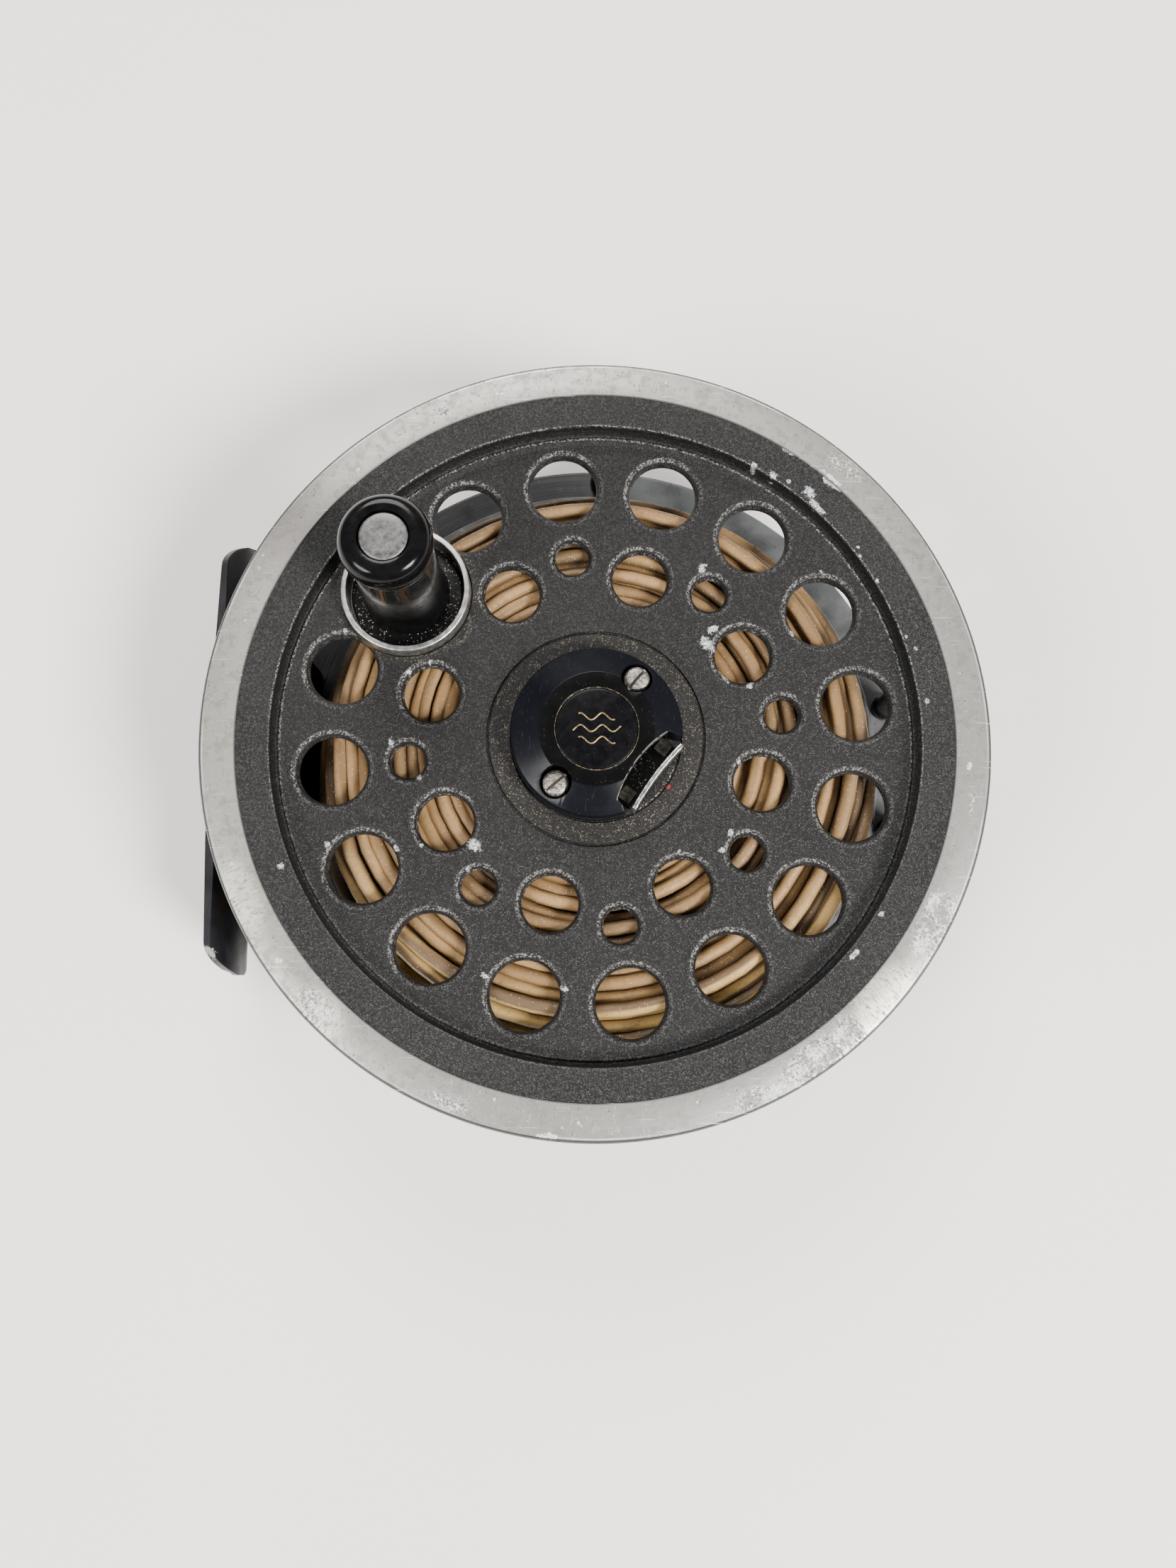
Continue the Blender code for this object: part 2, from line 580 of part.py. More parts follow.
# Hub cap and latch
def build_hub_cap():
    cap = turned("hub_cap", [
        (0.0, CAP_BOSS_Z - 0.5), (BADGE_R + FIT_GAP, CAP_BOSS_Z - 0.5), (BADGE_R + FIT_GAP, CAP_BOSS_Z),
        (CAP_BOSS_R - 0.2, CAP_BOSS_Z), (CAP_BOSS_R + 0.1, CAP_BOSS_Z - 0.15), (CAP_R - 0.2, CAP_EDGE_Z + 0.2),
        (CAP_R, CAP_EDGE_Z - 0.1),
        (CAP_R, FACE_Z + FIT_GAP), (0.0, FACE_Z + FIT_GAP),
    ], BLACK_ENAMEL, steps=48)
    slot_length = NOTCH_R + 7.4
    slot = box("latch_slot", (slot_length, 2 * LATCH_PLATE_HALF + 0.6, 3.2),
               (NOTCH_R + 0.5 - slot_length / 2, 0.0, LATCH_LUG_Z + 0.3 - 1.6), LATCH_ANGLE)
    boolean(cap, slot)
    notch = box("latch_notch", (8.0, 2 * NOTCH_HALF, 12.0), (NOTCH_R + 4.0, 0.0, 31.0), LATCH_ANGLE)
    boolean(cap, notch)
    spindle_room = cylinders("spindle_room", [(0.0, 0.0, SPINDLE_R + 0.5)], 27.0, SPINDLE_TOP + 0.5)
    boolean(cap, spindle_room)
    seats = [(*polar(HUB_SCREW_RING_R, a), HUB_SCREW_HEAD_R + 0.3) for a in hub_screw_angles()]
    boolean(cap, cylinders("hub_screw_seats", seats, 30.2, 36.0))


def hub_screw_angles():
    return HUB_SCREW_ANGLE, HUB_SCREW_ANGLE + 180.0


def build_hub_badge():
    turned("hub_badge", disc_profile(BADGE_R, CAP_BOSS_Z - 0.2, CAP_BOSS_Z + 0.3, 0.1), BADGE_BLACK, steps=40)


def build_hub_screws():
    for number, angle in enumerate(hub_screw_angles(), 1):
        x, y = polar(HUB_SCREW_RING_R, angle)
        screw = turned(f"hub_screw_{number}", [
            (0.0, 32.4), (0.9, 32.35), (1.4, 32.2), (HUB_SCREW_HEAD_R, 31.9), (HUB_SCREW_HEAD_R, 30.5), (0.0, 30.5),
        ], STEEL, centre=(x, y), steps=24)
        slotted(screw, (4.0, 0.45, 1.2), (x, y, 32.3))


def build_latch_spring():
    """A bowed wire under the cap, behind the keyhole plate."""
    curve = bpy.data.curves.new("latch_spring", "CURVE")
    curve.dimensions = "3D"
    curve.bevel_depth = 0.25 * MM
    curve.bevel_resolution = 2
    curve.use_fill_caps = True
    points = arc(9.0, 156.0, 204.0, 9, (2.6, 0.0))
    spline = curve.splines.new("POLY")
    spline.points.add(len(points) - 1)
    for point, (x, y) in zip(spline.points, points):
        point.co = (x * MM, y * MM, 0.0, 1.0)
    spring = place(bpy.data.objects.new("latch_spring", curve), STEEL)
    spring.location.z = (LATCH_PLATE_Z0 + LATCH_PLATE_Z1) * MM / 2
    spring.rotation_euler = (0.0, 0.0, math.radians(LATCH_ANGLE))


def build_latch():
    """Keyhole plate, upturned thumb tab and two lugs, cut from one stamping."""
    spin = Matrix.Rotation(math.radians(LATCH_ANGLE), 4, "Z")
    key_r = SPINDLE_R + FIT_GAP
    travel = LATCH_TRAVEL
    keyhole = arc(key_r, 90.0, 270.0, 11) + arc(key_r, -90.0, 90.0, 11, (travel, 0.0))
    half = LATCH_PLATE_HALF
    outline = [(-4.6, -half + 1.0), (-3.6, -half), (LATCH_TAB_R, -half), (LATCH_TAB_R, half),
               (-3.6, half), (-4.6, half - 1.0)]
    plate = as_mesh(flat("latch_plate", [outline, keyhole], LATCH_PLATE_Z0, LATCH_PLATE_Z1))
    plate.data.materials.append(STEEL)
    plate.matrix_world = spin @ plate.matrix_world
    bow_r = 30.0
    bow_angle = math.degrees(LATCH_TAB_HALF / bow_r)
    inner = LATCH_TAB_R - LATCH_TAB_T / 2
    outer = LATCH_TAB_R + LATCH_TAB_T / 2
    tab_outline = (arc(bow_r, 180.0 - bow_angle, 180.0 + bow_angle, 9, (inner + bow_r, 0.0))
                   + arc(bow_r, 180.0 + bow_angle, 180.0 - bow_angle, 9, (outer + bow_r, 0.0)))
    tab = as_mesh(flat("latch_tab", [tab_outline], LATCH_PLATE_Z0, 32.2, collection=CUTTERS))
    tab.matrix_world = spin @ tab.matrix_world
    boolean(plate, tab, "UNION")
    for side in (1, -1):
        lug = box(f"latch_lug_{side % 3}", (1.75, 1.75, LATCH_LUG_Z - LATCH_PLATE_Z0 - 0.2),
                  (7.35, side * 3.7, (LATCH_LUG_Z + LATCH_PLATE_Z0 + 0.2) / 2), LATCH_ANGLE)
        boolean(plate, lug, "UNION")


build_back_plate()
build_front_ring()
build_pillars()
build_pillar_screws()
build_foot_block()
build_reel_foot()
build_foot_screws()
build_spindle()
build_rear_boss()
build_click_posts()
build_click_spring()
build_click_pawl()
build_drag_knob()
build_thrust_washer()
build_spool_rim()
build_front_flange()
build_rear_flange()
build_drum()
build_bush()
build_ratchet_gear()
build_fly_line()
build_handle_fittings()
build_handle_knob()
build_hub_cap()
build_hub_badge()
build_hub_screws()
build_latch_spring()
build_latch()
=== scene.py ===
"""Looks of the fly reel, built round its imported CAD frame.

Lengths are in millimetres until they reach a mesh or a light. The spindle is the Z axis, the
reel lies on its rear plate at z = 0, and the reel foot is on the -X side.
"""

import functools
import math
import random

import bmesh
import bpy
from mathutils import Matrix, Vector


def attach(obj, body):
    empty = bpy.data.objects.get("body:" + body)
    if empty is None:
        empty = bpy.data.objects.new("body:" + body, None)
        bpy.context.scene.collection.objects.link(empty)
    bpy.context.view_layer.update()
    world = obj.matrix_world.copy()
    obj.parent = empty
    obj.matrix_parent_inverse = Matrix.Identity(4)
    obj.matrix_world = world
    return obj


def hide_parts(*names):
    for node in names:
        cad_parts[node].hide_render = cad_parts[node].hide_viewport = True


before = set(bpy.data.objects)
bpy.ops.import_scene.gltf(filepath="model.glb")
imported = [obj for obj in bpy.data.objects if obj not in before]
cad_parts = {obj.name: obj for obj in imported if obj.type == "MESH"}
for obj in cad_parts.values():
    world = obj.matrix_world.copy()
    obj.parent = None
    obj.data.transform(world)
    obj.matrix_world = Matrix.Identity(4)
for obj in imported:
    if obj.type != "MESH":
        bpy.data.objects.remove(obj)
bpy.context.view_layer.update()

MM = 0.001
ORIGIN = (0.0, 0.0, 0.0)

# Spool: lightening holes as (ring radius, hole radius), sixteen places to a ring.
HOLE_PLACES = 16
HANDLE_ANGLE = 142.26
HANDLE_RING_R = 30.3
OUTER_RING = (33.0, 4.27)
MIDDLE_RING = (21.45, 3.47)
SMALL_RING = (23.6, 2.12)
HOLE_LIP = 0.85

# Spool: heights and radii of the turned face.
FACE_Z = 28.0
FACE_BACK_Z = 26.7
RIM_PLANE_Z = 30.0
BORE_R = 4.9
HUB_LINE_R = 13.57
CAP_R = 10.6
RIDGE_R = 39.45
GROOVE_R = 40.2

# Hub cap, its screws and the latch under it.
CAP_BOSS_Z = 33.6
HUB_SCREW_RING = 8.1
HUB_SCREW_ANGLES = (52.5, 232.5)
LATCH_ANGLE = -37.0
LATCH_TAB_R = 9.1

# Frame.
PILLAR_ANGLES = (88.0, 12.0, -12.0, -88.0)
PILLAR_RING_R = 42.8
PILLAR_SCREW_RING_R = 41.9
DRAG_POST = (17.5, -21.5)
FOOT_MID_Z = 12.5
FOOT_HALF_LENGTH = 29.2
FOOT_HALF_WIDTH = 8.0
FOOT_SCREW_YS = (8.0, -8.0)


def polar(radius, degrees):
    angle = math.radians(degrees)
    return radius * math.cos(angle), radius * math.sin(angle)


HANDLE_XY = polar(HANDLE_RING_R, HANDLE_ANGLE)


# ------ material graph

class Graph:
    """A Principled material, the colour painted for it so far, and short names for nodes."""

    def __init__(self, name, roughness=0.5, metallic=0.0, specular=0.5):
        self.material = bpy.data.materials.new(name)
        self.material.use_nodes = True
        self.tree = self.material.node_tree
        self.shader = self.tree.nodes["Principled BSDF"]
        self.shader.inputs["Roughness"].default_value = roughness
        self.shader.inputs["Metallic"].default_value = metallic
        self.shader.inputs["Specular IOR Level"].default_value = specular
        where = self.node("TexCoord")
        self.mm = self.vector("SCALE", where.outputs["Object"], scale=1000.0)
        self.facing = where.outputs["Normal"]
        self.colour = None

    def put(self, socket, value):
        """Link a socket to another, or give it a constant."""
        if isinstance(value, bpy.types.NodeSocket):
            self.tree.links.new(value, socket)
        elif isinstance(value, tuple) and len(value) == 3 and len(socket.default_value) == 4:
            socket.default_value = (*value, 1.0)
        else:
            socket.default_value = value

    def node(self, kind, **values):
        """A new node, with its sockets linked or set by their names."""
        node = self.tree.nodes.new("ShaderNode" + kind)
        for socket, value in values.items():
            self.put(node.inputs[socket], value)
        return node

    def vector(self, operation, a, b=None, scale=None):
        node = self.node("VectorMath")
        node.operation = operation
        self.put(node.inputs[0], a)
        if b is not None:
            self.put(node.inputs[1], b)
        if scale is not None:
            self.put(node.inputs["Scale"], scale)
        return node.outputs["Value" if operation in ("LENGTH", "DISTANCE", "DOT_PRODUCT") else "Vector"]

    def math(self, operation, *values):
        node = self.node("Math")
        node.operation = operation
        for socket, value in zip(node.inputs, values):
            self.put(socket, value)
        return node.outputs[0]

    def plus(self, a, b):
        return self.math("ADD", a, b)

    def minus(self, a, b):
        return self.math("SUBTRACT", a, b)

    def gap(self, a, b):
        """How far apart two numbers are."""
        return self.math("ABSOLUTE", self.minus(a, b))

    def over_all(self, operation, values):
        """One number from several, taken two at a time."""
        return functools.reduce(lambda a, b: self.math(operation, a, b), values)

    def times(self, *values):
        return self.over_all("MULTIPLY", values)

    def most(self, *values):
        return self.over_all("MAXIMUM", values)

    def least(self, *values):
        return self.over_all("MINIMUM", values)

    def blend(self, share, a, b):
        """A number from a to b."""
        return self.plus(a, self.times(share, self.minus(b, a)))

    def ramp(self, value, low, high, to_low=0.0, to_high=1.0):
        """A smooth step from low to high."""
        node = self.node("MapRange")
        node.interpolation_type = "SMOOTHSTEP"
        for socket, number in zip(node.inputs, (value, low, high, to_low, to_high)):
            self.put(socket, number)
        return node.outputs[0]

    def combine(self, x, y, z=0.0):
        return self.node("CombineXYZ", X=x, Y=y, Z=z).outputs[0]

    @functools.cached_property
    def xyz(self):
        """The place on the piece, in mm."""
        return tuple(self.node("SeparateXYZ", Vector=self.mm).outputs)

    @functools.cached_property
    def radius(self):
        return self.vector("LENGTH", self.combine(*self.xyz[:2]))

    @functools.cached_property
    def angle(self):
        x, y, _ = self.xyz
        return self.math("ARCTAN2", y, x)

    def along(self, direction):
        """How far the surface faces a direction, -1 to 1."""
        return self.vector("DOT_PRODUCT", self.facing, direction)

    def ringed(self, out, around):
        """Coordinates outwards from the axis, and round it by the radian."""
        return self.combine(self.times(self.radius, out), self.times(self.angle, around))

    def unrolled(self, around, out):
        """Coordinates that run round the axis without a seam, and outwards."""
        x, y, _ = self.xyz
        turn = self.math("DIVIDE", around * 47.0, self.radius)
        return self.combine(self.times(x, turn), self.times(y, turn), self.times(self.radius, out))

    def patch(self, ring, degrees, along, across):
        """1 at a place on a ring, falling to 0 at its reach along and across the ring."""
        turn = self.minus(self.angle, math.radians(degrees))
        offset = self.times(self.math("WRAP", turn, math.pi, -math.pi), ring / along)
        rise = self.math("DIVIDE", self.minus(self.radius, ring), across)
        return self.ramp(self.vector("LENGTH", self.combine(offset, rise)), 1.0, 0.0)

    def patches(self, places):
        return self.most(*(self.patch(*place) for place in places))

    def away_from(self, x0, y0, z0=None):
        """Distance in mm from an upright line, or from a point when z0 is given."""
        x, y, z = self.xyz
        if z0 is None:
            return self.vector("DISTANCE", self.combine(x, y), (x0, y0, 0.0))
        return self.vector("DISTANCE", self.combine(x, y, z), (x0, y0, z0))

    def noise(self, scale, detail=2.0, rough=0.5, where=None, distortion=0.0):
        """Cloudy noise, by the mm unless other coordinates are given."""
        node = self.node("TexNoise", Vector=where or self.mm, Scale=scale, Detail=detail, Roughness=rough,
                         Distortion=distortion)
        return node.outputs[0]

    def specks(self, scale, share, size=0.3):
        """Small round spots in a share of the cells."""
        node = self.node("TexVoronoi", Vector=self.mm, Scale=scale)
        chosen = self.ramp(self.vector("DOT_PRODUCT", node.outputs["Color"], (1.0, 0.0, 0.0)),
                           1.0 - share - 0.02, 1.0 - share + 0.02)
        return self.times(chosen, self.ramp(node.outputs["Distance"], size, size * 0.5))

    def mix(self, share, a, b):
        """A colour from a to b."""
        node = self.node("Mix")
        node.data_type = "RGBA"
        self.put(node.inputs[0], share)
        self.put(node.inputs[6], a)
        self.put(node.inputs[7], b)
        return node.outputs[2]

    def paint(self, new, *masks):
        """Lay a colour over the one so far, by the product of the masks."""
        self.colour = self.mix(self.times(*masks), self.colour, new)

    def done(self, roughness, metallic, height, depth_mm, strength):
        """Feed the shader, with a bump; None leaves its own constant."""
        bump = self.node("Bump", Height=height, Distance=depth_mm * MM, Strength=strength)
        for socket, value in (("Base Color", self.colour), ("Roughness", roughness),
                              ("Metallic", metallic), ("Normal", bump.outputs[0])):
            if value is not None:
                self.put(self.shader.inputs[socket], value)
        return self.material


def hole_edge_distance(g):
    """Distance outside the nearest lightening hole of the spool, in mm."""
    radius = g.radius
    turn = g.minus(g.angle, math.radians(HANDLE_ANGLE))
    step = 2.0 * math.pi / HOLE_PLACES
    rings = ((OUTER_RING, 0.0, step / 2), (MIDDLE_RING, step, step), (SMALL_RING, 0.0, step))
    distances = []
    for (ring_r, hole_r), offset, half in rings:
        folded = g.math("WRAP", g.minus(turn, offset), half, -half)
        along = g.times(radius, g.math("COSINE", folded))
        across = g.times(radius, g.math("SINE", folded))
        far = g.vector("DISTANCE", g.combine(along, across), (ring_r, 0.0, 0.0))
        distances.append(g.minus(far, hole_r))
    return g.least(*distances)


# ------ materials

# Where most of the flange's paint has come off: ring radius, angle, reach along and across (mm).
BARE_PLACES = (
    (44.4, 56.3, 2.2, 0.9), (44.3, 47.5, 2.6, 1.1), (41.6, 49.0, 1.8, 1.5), (40.8, 46.4, 2.6, 1.0),
    (25.9, 58.5, 1.0, 1.5), (20.4, 43.2, 1.2, 1.5), (18.5, 41.0, 2.0, 1.5), (18.1, 26.5, 2.0, 0.9),
    (20.6, 19.5, 1.1, 1.0), (20.2, 222.0, 2.0, 1.5), (41.4, 203.3, 1.0, 0.9), (41.0, -41.0, 2.0, 0.8),
)
SMALL_CHIPS = 30


def small_chips():
    """Chips beside the holes, mostly on the right, and along the groove."""
    rng = random.Random(11)
    places = []
    for k in range(SMALL_CHIPS):
        reach = rng.uniform(0.55, 1.15)
        if k % 3 == 0:
            ring, angle = GROOVE_R + rng.uniform(0.2, 1.2), rng.uniform(-55.0, 62.0)
        else:
            (ring_r, hole_r), at = rng.choice(((MIDDLE_RING, 1), (SMALL_RING, 2), (OUTER_RING, 1)))
            hole = HANDLE_ANGLE + (at + 2 * rng.randrange(7)) * 360.0 / HOLE_PLACES
            x, y = polar(ring_r, hole)
            dx, dy = polar(hole_r + rng.uniform(0.3, 1.1), rng.gauss(130.0, 70.0))
            ring, angle = math.hypot(x + dx, y + dy), math.degrees(math.atan2(y + dy, x + dx))
        places.append((ring, angle, reach, reach * rng.uniform(0.6, 0.9)))
    return tuple(places)


# Towards the low right, the side the lips catch the light from.
LIT_SIDE = (0.62, -0.78, 0.0)


def wrinkle_paint():
    """Crinkle finish of the spool's face: worn lips, chips and dust about the hub, with painted glints and
    painted highlights on the lit side, and painted shade in the hole flares and on the groove wall.
    """
    g = Graph("wrinkle_paint", specular=0.3)
    x, y, z = g.xyz
    radius = g.radius
    fine = g.noise(3.2, 3.0, 0.8)
    grain = g.ramp(fine, 0.44, 0.62)
    g.colour = g.mix(grain, (0.0014, 0.0014, 0.0017), (0.0162, 0.0159, 0.0162))
    g.paint((0.022, 0.02, 0.018), g.ramp(g.noise(0.1, 3.0, 0.6), 0.35, 0.7, 0.0, 0.2))
    g.paint((0.001, 0.001, 0.0012), g.ramp(radius, 39.5, 38.5, 0.0, 0.52))
    # Painted glints: bright specks of the crinkle paint, stronger towards the lit low right.
    towards_light = g.ramp(g.minus(g.times(x, 0.5), y), -40.0, 40.0, 0.45, 0.95)
    painted_glint = g.times(g.specks(6.2, 0.34, 0.5), g.ramp(g.noise(0.9, 2.0), 0.28, 0.7, 0.35, 1.0),
                      towards_light)
    g.paint((0.106, 0.104, 0.101), painted_glint)
    edge = hole_edge_distance(g)
    facing = g.along(LIT_SIDE)
    flecks = g.ramp(g.noise(3.6, 3.0, 0.8), 0.5, 0.58)
    # Painted shade on the flare just inside each hole.
    flare_shade = g.times(g.ramp(edge, 0.56, 0.38), g.ramp(edge, 0.02, 0.1))
    g.paint((0.0035, 0.0035, 0.0035), flare_shade, 0.4)
    # Pale flecks round the hole lips: worn paint, with painted highlight where the lip faces the lit low
    # right.
    lip = g.times(g.ramp(g.gap(edge, 0.62), 0.36, 0.16), g.ramp(facing, -0.04, 0.12, 0.3, 1.0))
    inner_rows = g.ramp(radius, 27.5, 26.5)
    ragged = g.ramp(g.noise(0.7, 4.0, 0.7), 0.4, 0.6)
    torn_and_lit_edge = g.times(g.ramp(edge, 0.22, 0.06), g.ramp(facing, 0.05, 0.45, 0.1, 1.0),
                   g.blend(inner_rows, 0.25, 1.0), ragged)
    # Painted highlight along the ridge and the edge of the step, brighter towards the top, on flecks of worn
    # paint.
    ridge = g.times(g.ramp(g.gap(radius, RIDGE_R), 0.3, 0.1), g.ramp(y, -12.0, 12.0, 0.25, 1.0))
    step = g.times(g.ramp(g.gap(radius, GROOVE_R + 0.12), 0.16, 0.05), g.ramp(y, -20.0, 15.0, 0.15, 0.75))
    # Painted shade on the wall of the step down into the groove, darker towards the upper left.
    under = g.times(g.ramp(z, 29.1, 29.6), g.ramp(z, 30.22, 30.12), g.ramp(radius, 39.7, 39.9),
                    g.ramp(g.minus(y, x), -60.0, 25.0, 0.2, 1.0))
    g.paint((0.0015, 0.0015, 0.0015), under, 0.85)
    # Worn paint and painted highlight together, laid in pale flecks.
    worn_and_lit_edge = g.times(flecks, g.most(g.times(lip, 0.75), torn_and_lit_edge, ridge, step))
    crust = g.noise(1.5, 6.0, 0.85)
    chipped = g.ramp(g.plus(crust, g.times(g.patches(BARE_PLACES + small_chips()), 0.34)), 0.68, 0.73)
    flake = g.mix(g.ramp(g.noise(3.4, 4.0, 0.8), 0.42, 0.56), (0.13, 0.13, 0.135), (0.6, 0.61, 0.62))
    g.paint((0.3, 0.29, 0.275), worn_and_lit_edge, 0.85)
    g.paint(flake, chipped)
    beside_ring = g.ramp(g.gap(g.away_from(*HANDLE_XY), 8.7), 1.0, 0.2)
    hub = g.most(g.times(g.ramp(radius, HUB_LINE_R + 0.9, HUB_LINE_R - 0.6), g.ramp(radius, 9.6, 10.2)),
                 g.times(beside_ring, 0.8))
    g.paint((0.015, 0.0125, 0.009), hub, 0.3)
    dust = g.times(g.specks(4.4, 0.5, 0.44), g.ramp(g.noise(1.0, 3.0), 0.36, 0.6), hub)
    g.paint((0.185, 0.16, 0.118), dust, 0.8)
    crescent = g.times(g.ramp(g.gap(radius, CAP_R - 0.15), 0.13, 0.05),
                       g.ramp(g.gap(g.angle, -0.7), 0.36, 0.28))
    g.paint((0.42, 0.4, 0.36), crescent, flecks)
    red = g.ramp(g.away_from(*polar(10.95, -34.6)), 0.32, 0.2)
    g.paint((0.34, 0.012, 0.014), red, g.ramp(fine, 0.3, 0.6, 0.6, 1.0))
    bare = g.most(worn_and_lit_edge, chipped)
    height = g.plus(fine, g.times(painted_glint, 0.4))
    height = g.minus(height, g.times(g.noise(1.2, 4.0), chipped, 0.9))
    return g.done(g.blend(bare, g.blend(grain, 0.68, 0.5), 0.5), g.times(bare, 0.4), height, 0.1, 1.0)


# Corrosion of the rim as ring radius, angle, reach along and across (mm); the last table holds spots of
# painted highlight where lamps reflect in the rim.
RIM_WHITE = (
    (47.8, -64.0, 4.0, 1.8), (47.1, -59.5, 3.6, 1.9), (46.5, -56.0, 3.4, 1.8), (46.3, -51.5, 2.6, 1.8),
    (46.8, -33.5, 3.6, 2.4), (45.6, -27.0, 3.0, 1.4), (48.0, -26.0, 2.4, 1.4), (48.4, -97.0, 2.6, 0.8),
    (44.8, 48.0, 4.0, 0.6), (46.8, 226.0, 3.6, 2.0), (46.0, -5.0, 0.9, 0.6), (47.0, 216.0, 1.2, 1.0),
)
RIM_GREY = (
    (46.9, -29.5, 6.0, 3.2), (46.9, -50.0, 2.4, 3.0), (46.9, -56.5, 6.5, 3.2), (47.6, -67.0, 3.5, 2.0),
    (47.3, -111.5, 3.6, 1.7), (47.2, 47.5, 4.0, 1.8), (46.8, -10.5, 2.4, 0.5), (46.9, 225.0, 4.6, 2.6),
    (46.4, 115.0, 1.3, 0.9),
)
RIM_HIGHLIGHTS = ((46.9, -43.0, 6.6, 4.5), (46.9, 226.0, 5.0, 3.5), (46.9, 205.0, 7.0, 3.0))


def bare_rim():
    """Bare alloy, darkened and stained, with white corrosion, painted highlights where lamps reflect in it,
    and a painted shadow of the handle.
    """
    g = Graph("bare_rim")
    x, y, z = g.xyz
    radius = g.radius
    turning = g.noise(1.0, 3.0, 0.6, g.unrolled(0.25, 5.0))
    streak = g.noise(1.0, 4.0, 0.75, g.unrolled(3.2, 0.9))
    film = g.noise(0.8, 5.0, 0.72)
    cool = g.ramp(g.minus(g.times(x, 0.8), y), -20.0, 45.0)
    g.colour = g.mix(cool, (0.332, 0.317, 0.29), (0.262, 0.258, 0.245))
    g.paint((0.2, 0.192, 0.178), g.ramp(y, 22.0, 48.0, 0.0, 0.4))
    g.paint((0.3, 0.29, 0.27), g.ramp(g.noise(0.09, 3.0, 0.5), 0.35, 0.68, 0.0, 0.35))
    g.paint((0.155, 0.15, 0.136), g.ramp(film, 0.47, 0.62, 0.0, 0.55))
    g.paint((0.42, 0.41, 0.39), g.ramp(turning, 0.5, 0.75, 0.0, 0.2))
    shadow = g.ramp(g.gap(g.angle, 2.56), 0.2, 0.03)
    g.paint((0.19, 0.18, 0.17), shadow, 0.45)
    # Painted highlights: spots where lamps reflect in the rim.
    highlight_spots = g.patches(RIM_HIGHLIGHTS)
    g.paint((0.6, 0.585, 0.5), g.ramp(highlight_spots, 0.0, 0.6), g.ramp(streak, 0.62, 0.45), 0.7)
    greyed = g.ramp(g.plus(streak, g.times(g.patches(RIM_GREY), 0.3)), 0.6, 0.72)
    g.paint((0.17, 0.17, 0.168), greyed, 0.6)
    whitened = g.ramp(g.plus(g.noise(1.0, 5.0, 0.8, g.unrolled(1.7, 1.4)),
                             g.times(g.patches(RIM_WHITE), 0.3)), 0.66, 0.72)
    g.paint((0.74, 0.75, 0.76), whitened, g.ramp(g.noise(3.0, 4.0, 0.8), 0.4, 0.56, 0.3, 0.9))
    mottle = g.noise(2.6, 5.0, 0.8)
    crusted = g.times(g.ramp(g.patches(RIM_GREY), 0.05, 0.55), g.ramp(g.noise(0.7, 3.0, 0.6), 0.36, 0.52))
    g.paint((0.7, 0.695, 0.67), crusted, g.ramp(mottle, 0.5, 0.57), 0.85)
    g.paint((0.085, 0.082, 0.072), crusted, g.ramp(mottle, 0.47, 0.41), 0.85)
    pits = g.most(g.specks(1.4, 0.15, 0.24), g.specks(0.7, 0.12, 0.14))
    g.paint((0.09, 0.085, 0.075), pits, 0.65)
    nicks = g.times(g.most(g.specks(0.5, 0.1, 0.16), g.specks(1.1, 0.07, 0.2)), g.ramp(film, 0.45, 0.5))
    g.paint((0.75, 0.75, 0.74), nicks, 0.8)
    joint = g.ramp(radius, 44.5, 44.38)
    g.paint((0.04, 0.04, 0.038), joint, 0.75)
    brink = g.times(g.ramp(g.gap(radius, 48.4), 0.1, 0.03), g.ramp(g.noise(0.07, 2.0), 0.45, 0.6))
    g.paint((0.78, 0.78, 0.75), brink, 0.7)
    # The skirt's side is dark; on top, a painted dark line along the outer brink stands in for the shade of
    # the rounded edge.
    top = g.ramp(z, 29.45, 29.75)
    skirt = g.most(g.ramp(radius, 48.54, 48.64), g.ramp(z, 29.75, 29.45))
    g.paint(g.mix(top, (0.06, 0.064, 0.06), (0.03, 0.032, 0.031)), skirt, g.blend(top, 0.72, 0.95))
    scratch = g.ramp(g.noise(0.8, 1.0, 0.5, g.combine(g.times(x, 0.25), g.times(y, 5.0), 3.0)), 0.7, 0.74)
    g.paint((0.66, 0.66, 0.64), scratch, top, 0.35)
    gouge = g.ramp(g.noise(0.9, 1.0, 0.5, g.combine(g.times(x, 4.0), g.times(y, 0.35), 9.0)), 0.73, 0.76)
    g.paint((0.15, 0.145, 0.13), gouge, top, 0.5)
    dull = g.most(whitened, greyed)
    height = g.plus(g.times(turning, 0.25), g.times(whitened, 0.6))
    height = g.minus(height, g.times(g.most(pits, greyed), 0.7))
    return g.done(g.blend(dull, g.blend(g.ramp(film, 0.3, 0.7), 0.34, 0.46), 0.6), g.blend(dull, 0.45, 0.2),
                  height, 0.05, 0.6)


